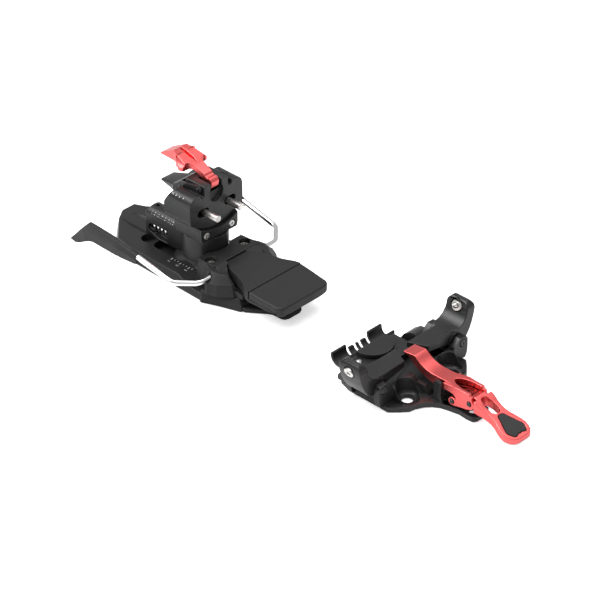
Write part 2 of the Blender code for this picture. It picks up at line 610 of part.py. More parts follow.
def pin_point(side, back):
    """A point on the toe pin's axis, so many millimetres back from its tip."""
    y, z = TOE_PIN_TIP
    out = back * MM * math.cos(TOE_PIN_SLOPE)
    down = back * MM * math.sin(TOE_PIN_SLOPE)
    return (TOE_PIN_X, (y + out) * side, z - down)


def toe_pin(side, name):
    """Toe pin with a pointed tip and a collar on the jaw."""
    pin = rod(pin_point(side, 8.9), pin_point(side, 2), 2 * MM, 16, name, STEEL)
    join(pin, rod(pin_point(side, 2.1), pin_point(side, 0), 1.95 * MM, 16, end_radius=0.7 * MM))
    return join(pin, rod(pin_point(side, 4.9), pin_point(side, 3.6), 3.7 * MM, 20))


def toe_nut(side, name):
    """Round socket nut that holds a toe pin from outside."""
    nut = rod(pin_point(side, 9.7), pin_point(side, 11.6), 3.6 * MM, 20, name, STEEL)
    return cut(nut, rod(pin_point(side, 10.6), pin_point(side, 14), 1.6 * MM, 6))


def jaw_axle(side, name):
    """Long axle of a jaw, along the ski."""
    y, z = JAW_AXIS
    return rod((-14 * MM, y * side, z), (13.5 * MM, y * side, z), JAW_AXLE_RADIUS, 16, name, DARK_STEEL)


def toe_spring(side, name):
    """Wound spring in the deck's channel that snaps a jaw shut."""
    path = []
    turns, steps = 5, 12
    for i in range(turns * steps + 1):
        angle = 2 * math.pi * i / steps
        across = (3.5 + 2.9 * i / steps) * MM * side
        path.append((-16 * MM + 1.7 * MM * math.cos(angle), across, 6.3 * MM + 1.7 * MM * math.sin(angle)))
    return tube(path, 0.55 * MM, 6, name, STEEL)


def lever_body():
    """Red lever: flat nose over the jaws, sloping web and two cheeks with pivot ears."""
    side_view = points((0.6, 21.4), (0.6, 22.8), (9.4, 23.7), (10.8, 23.3), (14, 20.6), (17.7, 18.7),
                       (22, 17.8), (26, 17.5), (37, 18), (55.6, 18.2), (53, 14.4), (37, 14.2), (33, 10.2),
                       (23.7, 11.2), (14, 14.2), (6, 19))
    lever = prism(side_view, -7.2 * MM, 7.2 * MM, "XZ", "lever_body", RED)
    plan = points((0, 5.2), (36, 5.3), (44, 7.2), (56, 7.2))
    combine(lever, prism(both_sides(plan), 5 * MM, 30 * MM), "INTERSECT")
    cheek = points((36, 17), (36, 13.6), (42.6, 12.8), (45.6, 9.3), (42, 9.2))
    cheek += arc(LEVER_AXIS, 2.9 * MM, 100, 290, 8)
    cheek += points((54, 6.6), (58.6, 8.2), (59.4, 12), (57.8, 15), (55.6, 18.2), (44, 18))
    for low, high in ((5.1, 7.2), (-7.2, -5.1)):
        join(lever, prism(cheek, low * MM, high * MM, "XZ"))
    window = points((39.6, 0.9), (42.5, 3.2), (49, 4.9), (60, 4.9))
    cut(lever, prism(both_sides(window), 5 * MM, 30 * MM))
    cut(lever, bore(*LEVER_AXIS, LEVER_PIN_RADIUS + RUN, -9 * MM, 9 * MM))
    return cut(lever, bore(*HANDLE_AXIS, LEVER_PIN_RADIUS + RUN, -9 * MM, 9 * MM))


HANDLE_TOP = points((57.6, 15.9), (61, 15.2), (67, 12.3), (76, 9.1), (88, 5.1), (93.4, 3.7))
PAD_HALF = points((74.6, 1.8), (77, 3.4), (82, 5.6), (86, 7.2), (89.4, 7), (91, 4.8), (90.4, 1.4))


def along_handle(above, below):
    """Side view of a layer that follows the handle's top, between two heights above it."""
    upper = [(x, z + above) for x, z in HANDLE_TOP]
    return upper + [(x, z + below) for x, z in reversed(HANDLE_TOP)]


def lever_handle():
    """Red handle: knuckle in the fork, hour-glass grip with an eye and a pad recess."""
    under = points((93.4, 0.3), (86, 0.5), (76, 3.4), (66, 6.6), (58.6, 8.4))
    knuckle = arc(HANDLE_AXIS, 3.6 * MM, 300, 90, 10)
    handle = prism(HANDLE_TOP + under + knuckle, -10 * MM, 10 * MM, "XZ", "lever_handle", RED)
    plan = points((50, 4.7), (59.8, 4.7), (60, 8.2), (63, 8), (70, 6.6), (76, 6.9), (83, 9.4), (88, 9.4),
                  (92, 7.6), (93.4, 5))
    combine(handle, prism(both_sides(plan), -1 * MM, 25 * MM), "INTERSECT")
    eye = arc(mm(63.4, 0), 2.9 * MM, 250, 110, 8) + arc(mm(69.2, 0), 3.6 * MM, 80, -80, 8)
    cut(handle, prism(eye, -1 * MM, 25 * MM))
    recess = prism(along_handle(4 * MM, -1.4 * MM), -10 * MM, 10 * MM, "XZ")
    combine(recess, prism(both_sides(PAD_HALF), -1 * MM, 25 * MM), "INTERSECT")
    cut(handle, recess)
    return cut(handle, bore(*HANDLE_AXIS, LEVER_PIN_RADIUS + RUN, -9 * MM, 9 * MM))


def handle_pad():
    """Rubber pad let into the handle."""
    pad = prism(along_handle(0.2 * MM, -1.1 * MM), -10 * MM, 10 * MM, "XZ", "handle_pad", RUBBER)
    plan = [(x + GAP * (0.5 if x < 80 * MM else -1), y - GAP) for x, y in PAD_HALF]
    return combine(pad, prism(both_sides(plan), -1 * MM, 25 * MM), "INTERSECT")


def lever_pin(name, axis):
    """Cross pin of the lever or of its handle."""
    x, z = axis
    return rod((x, -7.9 * MM, z), (x, 7.9 * MM, z), LEVER_PIN_RADIUS, 12, name, DARK_STEEL)


# ---------------------------------------------------------------- assembly

def remove_old_objects():
    """Clear the scene without closing the file."""
    for old in list(bpy.data.objects):
        bpy.data.objects.remove(old)


def build_heel():
    """Fixed plate, sliding carriage and the turret with its pins and flaps."""
    heel_plate()
    length_screw()
    slide = hinge_empty("carriage_slide", (COLUMN_X, 0, PLATE_TOP))
    mount([carriage(), spring_housing(), release_coil(), release_screw(), release_piston()], slide)
    turret = hinge_empty("turret_turn", (COLUMN_X, 0, COLUMN_TOP), slide)
    mount([turret_base(), turret_spindle(), heel_tower(), flap_pin()], turret)
    for side, hand in ((1, "left"), (-1, "right")):
        mount([turret_screw(side, f"turret_screw_{hand}"), heel_buffer(side, f"heel_buffer_{hand}")], turret)
        pivot = (HEEL_PIN_PIVOT_X, HEEL_PIN_Y * side, HEEL_PIN_Z)
        swing = hinge_empty(f"heel_pin_swing_{hand}", pivot, turret)
        mount([heel_pin(side, f"heel_pin_{hand}")], swing)
    for name, piece in (("red_flap_flip", red_flap()), ("black_flap_flip", black_flap())):
        mount([piece], hinge_empty(name, (FLAP_AXIS[0], 0, FLAP_AXIS[1]), turret))


def build_brake():
    """Brake body with its pedal and the two stowed arms."""
    brake_plate()
    brake_base()
    pedal_pin()
    brake_spring()
    axis = (BRAKE_AXIS[0], 0, BRAKE_AXIS[1])
    mount([brake_pedal(), pedal_pad()], hinge_empty("pedal_turn", axis))
    arms = hinge_empty("brake_arm_turn", axis)
    for side, hand in ((1, "left"), (-1, "right")):
        brake_screw(side, f"brake_screw_{hand}")
        mount([brake_arm(side, f"brake_arm_{hand}"), brake_tip(side, f"brake_tip_{hand}")], arms)


def build_toe():
    """Toe plate, jaws with their pins, and the lever with its handle."""
    toe_base()
    boot_rest()
    crampon_clip()
    lever_pin("lever_pin", LEVER_AXIS)
    for side, hand in ((1, "left"), (-1, "right")):
        jaw_axle(side, f"jaw_axle_{hand}")
        toe_spring(side, f"toe_spring_{hand}")
        close = hinge_empty(f"jaw_close_{hand}", (0, JAW_AXIS[0] * side, JAW_AXIS[1]))
        mount([toe_jaw(side, f"toe_jaw_{hand}"), toe_pin(side, f"toe_pin_{hand}"),
               toe_nut(side, f"toe_nut_{hand}")], close)
    lever = hinge_empty("lever_turn", (LEVER_AXIS[0], 0, LEVER_AXIS[1]))
    mount([lever_body(), lever_pin("handle_pin", HANDLE_AXIS)], lever)
    handle = hinge_empty("handle_turn", (HANDLE_AXIS[0], 0, HANDLE_AXIS[1]), lever)
    mount([lever_handle(), handle_pad()], handle)


def main():
    """Build the whole binding."""
    remove_old_objects()
    build_heel()
    build_brake()
    build_toe()


main()
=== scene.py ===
"""Looks of a touring ski binding: detailed pieces, finishes, floor, light and camera.

Metres, +Z up, +X to the ski's tip, +Y to the skier's left.  z = 0 is the ski's top surface and
x = 0 lies at the toe pins.  Sizes in the classes are millimetres and pass through mm().
"""
import logging
import math
from dataclasses import dataclass
from enum import Enum
from typing import Sequence

import bpy
from mathutils import Matrix, Vector


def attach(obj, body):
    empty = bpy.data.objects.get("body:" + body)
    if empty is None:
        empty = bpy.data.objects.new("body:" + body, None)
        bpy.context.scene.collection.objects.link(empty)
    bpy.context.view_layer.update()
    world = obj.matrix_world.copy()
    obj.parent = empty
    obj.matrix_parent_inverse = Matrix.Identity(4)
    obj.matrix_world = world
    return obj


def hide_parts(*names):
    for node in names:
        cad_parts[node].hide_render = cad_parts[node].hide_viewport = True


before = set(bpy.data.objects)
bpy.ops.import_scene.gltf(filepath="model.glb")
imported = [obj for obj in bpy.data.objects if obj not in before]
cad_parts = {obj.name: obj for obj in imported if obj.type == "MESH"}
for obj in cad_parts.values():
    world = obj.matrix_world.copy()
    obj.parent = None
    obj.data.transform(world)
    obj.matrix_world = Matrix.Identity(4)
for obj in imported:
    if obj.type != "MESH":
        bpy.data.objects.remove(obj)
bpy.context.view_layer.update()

logging.basicConfig(level=logging.INFO, format="%(message)s")
LOG = logging.getLogger("binding")
MM = 0.001
WELD = 2e-5
FLAT_ANGLE = 0.8
SMOOTH_ANGLE = 34
PATCH_SCALE = 90.0
TURNING_SCALE = 5000.0
BUMP_REACH = 0.00006
Point = tuple[float, float]
Place = tuple[float, float, float]


class Plane(Enum):
    """The plane an outline is drawn in; it is extruded along the third axis."""

    TOP = "XY"
    SIDE = "XZ"
    FRONT = "YZ"


class Slot(Enum):
    """Material slots of the record."""

    BLACK = "black_anodised"
    PLASTIC = "black_plastic"
    RED = "red_anodised"
    STEEL = "polished_steel"
    WIRE = "bright_wire"
    DARK = "dark_steel"
    RUBBER = "black_rubber"


class Hand(Enum):
    """The two sides of the binding, with the sign of y."""

    LEFT = 1
    RIGHT = -1

    @property
    def word(self) -> str:
        """Name used in node names."""
        return self.name.lower()


# ------------------------------------------------------------------ modelling moves

def mm(*values: float) -> Place:
    """Turn millimetres into a tuple of metres."""
    return tuple(value * MM for value in values)


def arc(centre: Point, radius: float, start: float, end: float, steps: int) -> list[Point]:
    """Points on an arc in millimetres, angles in degrees, both ends included."""
    turns = [math.radians(start + (end - start) * i / steps) for i in range(steps + 1)]
    return [(centre[0] + radius * math.cos(t), centre[1] + radius * math.sin(t)) for t in turns]


def mirrored(half: Sequence[Point]) -> list[Point]:
    """Close an outline of (along, across) points with its mirror image in across = 0."""
    return list(half) + [(a, -b) for a, b in reversed(half) if b != 0]


def sided(outline: Sequence[Point], hand: Hand) -> list[Point]:
    """Put an outline of (along, across) points on one side."""
    return [(a, b * hand.value) for a, b in outline]


def start_fresh() -> None:
    """Deselect every object."""
    bpy.ops.object.select_all(action="DESELECT")


def make_active(piece: bpy.types.Object) -> None:
    """Select one object alone and make it the active one."""
    start_fresh()
    piece.select_set(True)
    bpy.context.view_layer.objects.active = piece


def face_outwards(piece: bpy.types.Object, merge: float = 1e-6) -> None:
    """Merge doubles and turn all faces outwards.

    Args:
        piece: The mesh object.
        merge: Distance in metres under which corners become one.
    """
    make_active(piece)
    bpy.ops.object.mode_set(mode="EDIT")
    bpy.ops.mesh.select_all(action="SELECT")
    bpy.ops.mesh.remove_doubles(threshold=merge)
    bpy.ops.mesh.normals_make_consistent(inside=False)
    bpy.ops.object.mode_set(mode="OBJECT")


def loft(name: str, rings: Sequence[Sequence[Place]]) -> bpy.types.Object:
    """Extrude a disc ring by ring into a closed body.

    Args:
        name: Object name.
        rings: Rings in metres, all with the same number of corners.

    Returns:
        The mesh object, in place.
    """
    start_fresh()
    bpy.ops.mesh.primitive_circle_add(vertices=len(rings[0]), radius=1.0, fill_type="NGON")
    piece = bpy.context.object
    piece.name = name
    for corner, place in zip(piece.data.vertices, rings[0]):
        corner.co = place
    for before, ring in zip(rings, rings[1:]):
        bpy.ops.object.mode_set(mode="EDIT")
        bpy.ops.mesh.extrude_region_move(TRANSFORM_OT_translate={"value": (0, 0, 0)})
        bpy.ops.object.mode_set(mode="OBJECT")
        known = [Vector(place) for place in before]
        for corner in [v for v in piece.data.vertices if v.select]:
            nearest = min(range(len(known)), key=lambda i: (known[i] - corner.co).length_squared)
            corner.co = ring[nearest]
    face_outwards(piece)
    return piece


def slab(name: str, outline: Sequence[Point], low: float, high: float,
         plane: Plane = Plane.TOP) -> bpy.types.Object:
    """Extrude an outline in millimetres between two heights.

    Args:
        name: Object name.
        outline: Corners in the plane, millimetres.
        low: Start along the third axis, millimetres.
        high: End along the third axis, millimetres.
        plane: The plane of the outline.

    Returns:
        The mesh object, in place.
    """
    spots = {Plane.TOP: lambda a, b, c: mm(a, b, c), Plane.SIDE: lambda a, b, c: mm(a, c, b),
             Plane.FRONT: lambda a, b, c: mm(c, a, b)}[plane]
    return loft(name, [[spots(a, b, c) for a, b in outline] for c in (low, high)])


def block(name: str, low: Place, high: Place) -> bpy.types.Object:
    """A box between two corners in millimetres, used as a cutter or a start."""
    corners = [(low[0], low[1]), (high[0], low[1]), (high[0], high[1]), (low[0], high[1])]
    return slab(name, corners, low[2], high[2])


def lathe(name: str, profile: Sequence[Point], start: Place, towards: Place,
          sides: int = 48) -> bpy.types.Object:
    """Turn a profile about an axis.

    Args:
        name: Object name.
        profile: (radius, distance along the axis) pairs in millimetres.
        start: A point on the axis, millimetres.
        towards: Direction of the axis.
        sides: Corners in each ring.

    Returns:
        The mesh object, in place.
    """
    axis = Vector(towards).normalized()
    across = axis.orthogonal().normalized()
    other = axis.cross(across)
    turns = [2 * math.pi * i / sides for i in range(sides)]
    rings = []
    for radius, along in profile:
        centre = Vector(start) + axis * along
        rings.append([tuple((centre + radius * (math.cos(t) * across + math.sin(t) * other)) * MM)
                      for t in turns])
    return loft(name, rings)


def bar(name: str, start: Place, end: Place, radius: float, sides: int = 32) -> bpy.types.Object:
    """A round bar between two points in millimetres, used as a cutter or a start."""
    run = Vector(end) - Vector(start)
    return lathe(name, [(radius, 0), (radius, run.length)], start, tuple(run), sides)


def sweep(name: str, path: Sequence[Place], radius: float, sides: int = 6) -> bpy.types.Object:
    """Run a round wire along a path of points in millimetres, and make it a mesh.

    Args:
        name: Object name.
        path: Points in millimetres.
        radius: Wire radius in millimetres.
        sides: Resolution of the round section.

    Returns:
        The mesh object, with closed ends.
    """
    curve = bpy.data.curves.new(name, "CURVE")
    curve.dimensions = "3D"
    curve.bevel_depth = radius * MM
    curve.bevel_resolution = sides
    curve.use_fill_caps = True
    spline = curve.splines.new("POLY")
    spline.points.add(len(path) - 1)
    for spot, place in zip(spline.points, path):
        spot.co = (*mm(*place), 1)
    wire = bpy.data.objects.new(name, curve)
    bpy.context.scene.collection.objects.link(wire)
    make_active(wire)
    bpy.ops.object.convert(target="MESH")
    piece = bpy.context.object
    face_outwards(piece)
    return piece


def bent(corners: Sequence[Place], radius: float, steps: int = 8) -> list[Place]:
    """Round the inner corners of a path.

    Args:
        corners: Path corners in millimetres.
        radius: Length taken from each leg for the bend.
        steps: Points in each bend.

    Returns:
        The rounded path.
    """
    spots = [Vector(c) for c in corners]
    path = [spots[0]]
    for before, corner, after in zip(spots, spots[1:], spots[2:]):
        enter = corner + (before - corner).normalized() * radius
        leave = corner + (after - corner).normalized() * radius
        for i in range(steps + 1):
            t = i / steps
            path.append(enter * (1 - t) ** 2 + corner * 2 * t * (1 - t) + leave * t ** 2)
    return [tuple(p) for p in path + [spots[-1]]]


def combine(piece: bpy.types.Object, tool: bpy.types.Object, operation: str) -> bpy.types.Object:
    """Apply a Boolean of a tool to a piece, and remove the tool.

    Args:
        piece: The mesh object that is kept.
        tool: The mesh object that is used up.
        operation: DIFFERENCE, UNION or INTERSECT.

    Returns:
        The piece.
    """
    make_active(piece)
    step = piece.modifiers.new(operation.title(), "BOOLEAN")
    step.operation = operation
    step.solver = "EXACT"
    step.object = tool
    bpy.ops.object.modifier_apply(modifier=step.name)
    bpy.data.objects.remove(tool)
    return piece


def cut(piece: bpy.types.Object, *tools: bpy.types.Object) -> bpy.types.Object:
    """Take each tool away from a piece."""
    for tool in tools:
        combine(piece, tool, "DIFFERENCE")
    return piece


def join(piece: bpy.types.Object, *tools: bpy.types.Object) -> bpy.types.Object:
    """Weld each tool to a piece."""
    for tool in tools:
        combine(piece, tool, "UNION")
    return piece


def trim(piece: bpy.types.Object, *tools: bpy.types.Object) -> bpy.types.Object:
    """Keep what a piece has in common with each tool."""
    for tool in tools:
        combine(piece, tool, "INTERSECT")
    return piece


def soften(piece: bpy.types.Object, width: float, rounds: int = 2, angle: float = 28,
           merge: bool = True) -> bpy.types.Object:
    """Round a piece's sharp edges with a bevel, and shade it smooth.

    Args:
        piece: The mesh object.
        width: Bevel width in millimetres; 0 leaves the edges.
        rounds: Segments of the bevel.
        angle: Edges sharper than this many degrees are rounded.
        merge: Whether flat neighbours become one face first.

    Returns:
        The same object.
    """
    make_active(piece)
    bpy.ops.object.mode_set(mode="EDIT")
    bpy.ops.mesh.select_all(action="SELECT")
    bpy.ops.mesh.remove_doubles(threshold=WELD)
    if merge:
        bpy.ops.mesh.dissolve_limited(angle_limit=math.radians(FLAT_ANGLE))
    bpy.ops.mesh.normals_make_consistent(inside=False)
    bpy.ops.object.mode_set(mode="OBJECT")
    if width:
        bevel = piece.modifiers.new("Edge", "BEVEL")
        bevel.width = width * MM
        bevel.segments = rounds
        bevel.limit_method = "ANGLE"
        bevel.angle_limit = math.radians(angle)
        bevel.use_clamp_overlap = False
        bevel.miter_outer = "MITER_ARC"
        bpy.ops.object.modifier_apply(modifier=bevel.name)
    bpy.ops.object.shade_smooth_by_angle(angle=math.radians(SMOOTH_ANGLE))
    weigh = piece.modifiers.new("Flat", "WEIGHTED_NORMAL")
    weigh.keep_sharp = True
    bpy.ops.object.modifier_apply(modifier=weigh.name)
    return piece


# ------------------------------------------------------------------ shader groups

def new_group(name: str, control: str, default: float, *gives: str) -> bpy.types.NodeTree:
    """Start a shader node group that takes a vector and one number, and gives numbers.

    Args:
        name: Group name.
        control: Name of the number it takes.
        default: That number's default.
        gives: Names of its outputs.

    Returns:
        The node tree, with its input and output nodes named "in" and "out".
    """
    tree = bpy.data.node_groups.new(name, "ShaderNodeTree")
    tree.interface.new_socket("Vector", in_out="INPUT", socket_type="NodeSocketVector")
    number = tree.interface.new_socket(control, in_out="INPUT", socket_type="NodeSocketFloat")
    number.default_value = default
    for label in gives:
        tree.interface.new_socket(label, in_out="OUTPUT", socket_type="NodeSocketFloat")
    tree.nodes.new("NodeGroupInput").name = "in"
    tree.nodes.new("NodeGroupOutput").name = "out"
    return tree


def feed(node: bpy.types.Node, **values: object) -> bpy.types.Node:
    """Fill a node's inputs by name: sockets are linked, numbers and tuples are set.

    Args:
        node: The node to fill.
        values: A value for each input, with _ for a space in the input's name.

    Returns:
        The same node.
    """
    for label, value in values.items():
        entry = node.inputs[label.replace("_", " ")]
        if isinstance(value, bpy.types.NodeSocket):
            node.id_data.links.new(value, entry)
        else:
            entry.default_value = value
    return node


def math_node(tree: bpy.types.NodeTree, operation: str, first: object, second: object) -> object:
    """Add a Math node of two sockets or numbers, and return its output."""
    node = tree.nodes.new("ShaderNodeMath")
    node.operation = operation
    for entry, value in zip(node.inputs, (first, second)):
        if isinstance(value, bpy.types.NodeSocket):
            tree.links.new(value, entry)
        else:
            entry.default_value = value
    return node.outputs[0]


def grain_group() -> bpy.types.NodeTree:
    """Fine blasted or moulded grain: a height and a speckle from noise and cells."""
    found = bpy.data.node_groups.get("fine_grain")
    if found:
        return found
    tree = new_group("fine_grain", "Scale", 6000.0, "Height", "Speckle")
    given = tree.nodes["in"].outputs
    wider = math_node(tree, "MULTIPLY", given["Scale"], 0.55)
    noise = feed(tree.nodes.new("ShaderNodeTexNoise"), Vector=given["Vector"], Scale=given["Scale"], Detail=3)
    cells = feed(tree.nodes.new("ShaderNodeTexVoronoi"), Vector=given["Vector"], Scale=wider)
    pits = math_node(tree, "MULTIPLY", cells.outputs["Distance"], 0.6)
    height = math_node(tree, "ADD", noise.outputs["Fac"], pits)
    feed(tree.nodes["out"], Height=height, Speckle=noise.outputs["Fac"])
    return tree


def patina_group() -> bpy.types.NodeTree:
    """Wide soft patches and fine rubbed lines that vary a finish over the surface."""
    found = bpy.data.node_groups.get("handled_patches")
    if found:
        return found
    tree = new_group("handled_patches", "Scale", PATCH_SCALE, "Patches", "Lines")
    given = tree.nodes["in"].outputs
    wide = feed(tree.nodes.new("ShaderNodeTexNoise"), Vector=given["Vector"], Scale=given["Scale"], Detail=5)
    stretch = feed(tree.nodes.new("ShaderNodeMapping"), Vector=given["Vector"], Rotation=(0.3, 0.5, 0.9),
                   Scale=(160, 2600, 2600))
    lines = feed(tree.nodes.new("ShaderNodeTexNoise"), Vector=stretch.outputs["Vector"], Scale=1, Detail=2)
    thin = math_node(tree, "GREATER_THAN", lines.outputs["Fac"], 0.68)
    feed(tree.nodes["out"], Patches=wide.outputs["Fac"], Lines=thin)
    return tree


def highlit_worn_edge_mask_group() -> bpy.types.NodeTree:
    """Mask of convex outer edges, broken up by noise; the edges it lightens are partly rubbed wear and partly
    a painted highlight.
    """
    found = bpy.data.node_groups.get("rubbed_and_highlit_edges")
    if found:
        return found
    tree = new_group("rubbed_and_highlit_edges", "Amount", 0.5, "Mask")
    given = tree.nodes["in"].outputs
    shape = tree.nodes.new("ShaderNodeNewGeometry")
    # Pointiness picks out convex outer edges. They get lighter partly as rubbed wear and partly as a painted
    # highlight.
    ramp = feed(tree.nodes.new("ShaderNodeMapRange"), Value=shape.outputs["Pointiness"],
                From_Min=0.53, From_Max=0.66)
    noise = feed(tree.nodes.new("ShaderNodeTexNoise"), Vector=given["Vector"], Scale=420, Detail=4)
    broken = math_node(tree, "MULTIPLY", ramp.outputs["Result"], noise.outputs["Fac"])
    feed(tree.nodes["out"], Mask=math_node(tree, "MULTIPLY", broken, given["Amount"]))
    return tree


def turning_group() -> bpy.types.NodeTree:
    """Fine lines round an axis that runs along the vector's x, as a lathe leaves them."""
    found = bpy.data.node_groups.get("turning_lines")
    if found:
        return found
    tree = new_group("turning_lines", "Scale", TURNING_SCALE, "Height")
    given = tree.nodes["in"].outputs
    squash = feed(tree.nodes.new("ShaderNodeMapping"), Vector=given["Vector"], Scale=(1, 0.04, 0.04))
    noise = feed(tree.nodes.new("ShaderNodeTexNoise"), Vector=squash.outputs["Vector"],
                 Scale=given["Scale"], Detail=2)
    feed(tree.nodes["out"], Height=noise.outputs["Fac"])
    return tree


# ------------------------------------------------------------------ finishes

@dataclass(frozen=True)
class Finish:
    """A coated, moulded or bare surface, mixed from grain, patches and lighter outer edges that are partly
    rubbed wear and partly a painted highlight.
    """

    name: str
    slot: Slot
    colour: tuple[float, float, float]
    light: tuple[float, float, float]
    rough_low: float
    rough_high: float
    metallic: float = 0.0
    grain_scale: float = 6000.0
    grain_depth: float = 0.15
    # Amount of lighter outer edges, partly rubbed wear and partly a painted highlight.
    edge_highlight_and_wear: float = 0.5
    turned: bool = False
    gloss: float = 0.5

    def material(self) -> bpy.types.Material:
        """Fetch or build the node material of this finish."""
        found = bpy.data.materials.get(self.name)
        if found:
            return found
        made = bpy.data.materials.new(self.name)
        made.use_nodes = True
        tree = made.node_tree
        shader = tree.nodes["Principled BSDF"]
        shader.inputs["Metallic"].default_value = self.metallic
        shader.inputs["Specular IOR Level"].default_value = self.gloss
        where = tree.nodes.new("ShaderNodeTexCoord").outputs["Object"]
        grain = self.add_group(tree, grain_group(), where, Scale=self.grain_scale)
        patches = self.add_group(tree, patina_group(), where, Scale=PATCH_SCALE)
        edges = self.add_group(tree, highlit_worn_edge_mask_group(), where, Amount=self.edge_highlight_and_wear)
        # Grain and patches are random tone. The edge term is partly rubbed wear and partly a painted
        # highlight.
        mask = math_node(tree, "MULTIPLY", grain.outputs["Speckle"], 0.35)
        mask = math_node(tree, "ADD", mask, math_node(tree, "MULTIPLY", patches.outputs["Patches"], 0.3))
        mask = math_node(tree, "ADD", mask, edges.outputs["Mask"])
        mix = tree.nodes.new("ShaderNodeMix")
        mix.data_type = "RGBA"
        mix.inputs[6].default_value = (*self.colour, 1)
        mix.inputs[7].default_value = (*self.light, 1)
        tree.links.new(mask, mix.inputs[0])
        tree.links.new(mix.outputs[2], shader.inputs["Base Color"])
        self.link_roughness(tree, shader, patches)
        height = grain.outputs["Height"]
        if self.turned:
            lines = self.add_group(tree, turning_group(), where, Scale=TURNING_SCALE)
            height = math_node(tree, "ADD", height, lines.outputs["Height"])
        bump = feed(tree.nodes.new("ShaderNodeBump"), Strength=self.grain_depth, Distance=BUMP_REACH,
                    Height=height)
        tree.links.new(bump.outputs["Normal"], shader.inputs["Normal"])
        return made

    def add_group(self, tree: bpy.types.NodeTree, group: bpy.types.NodeTree, where: object,
                  **values: float) -> bpy.types.Node:
        """Place a node group in a material.

        Args:
            tree: The material's node tree.
            group: The node group.
            where: Coordinates that feed it.
            values: The group's own values by input name.

        Returns:
            The group's node.
        """
        node = tree.nodes.new("ShaderNodeGroup")
        node.node_tree = group
        return feed(node, Vector=where, **values)

    def link_roughness(self, tree: bpy.types.NodeTree, shader: bpy.types.Node,
                       patches: bpy.types.Node) -> None:
        """Vary roughness between its two ends by the patches and fine lines.

        Args:
            tree: The material's node tree.
            shader: The surface shader.
            patches: The node that gives patches and lines.
        """
        spread = feed(tree.nodes.new("ShaderNodeMapRange"), Value=patches.outputs["Patches"],
                      From_Min=0.3, From_Max=0.7, To_Min=self.rough_low, To_Max=self.rough_high)
        rubbed = math_node(tree, "MULTIPLY", patches.outputs["Lines"], 0.03)
        tree.links.new(math_node(tree, "ADD", spread.outputs["Result"], rubbed),
                       shader.inputs["Roughness"])


# The edge amount in each finish lightens outer edges, partly as wear and partly as a painted highlight.
BLACK = Finish("satin_black_anodising", Slot.BLACK, (0.0065, 0.0067, 0.0072), (0.022, 0.022, 0.023),
               0.30, 0.40, grain_scale=7000, grain_depth=0.12, edge_highlight_and_wear=0.9, gloss=0.36)
PLASTIC = Finish("moulded_black_plastic", Slot.PLASTIC, (0.0065, 0.0065, 0.0068), (0.0145, 0.0145, 0.015),
                 0.46, 0.58, grain_scale=4200, grain_depth=0.20, edge_highlight_and_wear=0.35, gloss=0.34)
RED = Finish("satin_red_anodising", Slot.RED, (0.70, 0.10, 0.10), (0.90, 0.20, 0.195),
             0.32, 0.38, metallic=1.0, grain_scale=5000, grain_depth=0.05, edge_highlight_and_wear=0.8)
STEEL = Finish("turned_steel", Slot.STEEL, (0.58, 0.56, 0.54), (0.76, 0.75, 0.73),
               0.26, 0.34, metallic=1.0, grain_scale=5000, grain_depth=0.04, edge_highlight_and_wear=0.3, turned=True)
WIRE = Finish("bright_wire_steel", Slot.WIRE, (0.80, 0.80, 0.81), (0.90, 0.90, 0.91),
              0.05, 0.10, metallic=1.0, grain_scale=5000, grain_depth=0.02, edge_highlight_and_wear=0.1)
DARK = Finish("blackened_steel", Slot.DARK, (0.035, 0.035, 0.036), (0.10, 0.10, 0.10),
              0.28, 0.42, metallic=0.8, grain_scale=5000, grain_depth=0.12, edge_highlight_and_wear=0.6, turned=True)
RUBBER = Finish("soft_black_rubber", Slot.RUBBER, (0.007, 0.007, 0.0072), (0.016, 0.016, 0.016),
                0.6, 0.75, grain_scale=3200, grain_depth=0.35, edge_highlight_and_wear=0.2)
MARKING = Finish("laser_marking", Slot.BLACK, (0.55, 0.55, 0.55), (0.72, 0.72, 0.72),
                 0.45, 0.6, grain_scale=8000, grain_depth=0.2, edge_highlight_and_wear=0.0)


# ------------------------------------------------------------------ placing pieces

def deliver(piece: bpy.types.Object, body: str, finish: Finish, nodes: Sequence[str] = ()) -> None:
    """Give a piece its finish and body, and let it stand for CAD nodes.

    Args:
        piece: The finished mesh object.
        body: Name of the body it moves with.
        finish: Its finish.
        nodes: CAD nodes it replaces.
    """
    make_active(piece)
    bpy.ops.object.transform_apply(location=True, rotation=True, scale=True)
    piece.data.materials.clear()
    piece.data.materials.append(finish.material())
    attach(piece, body)
    if nodes:
        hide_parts(*nodes)
    LOG.info("%s rides on %s, %d faces", piece.name, body, len(piece.data.polygons))


def dress(finish: Finish, *nodes: str) -> None:
    """Give CAD nodes that stay a finish."""
    for node in nodes:
        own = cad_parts[node]
        own.data.materials.clear()
        own.data.materials.append(finish.material())
        LOG.info("%s keeps its shape", node)


# ------------------------------------------------------------------ heel unit

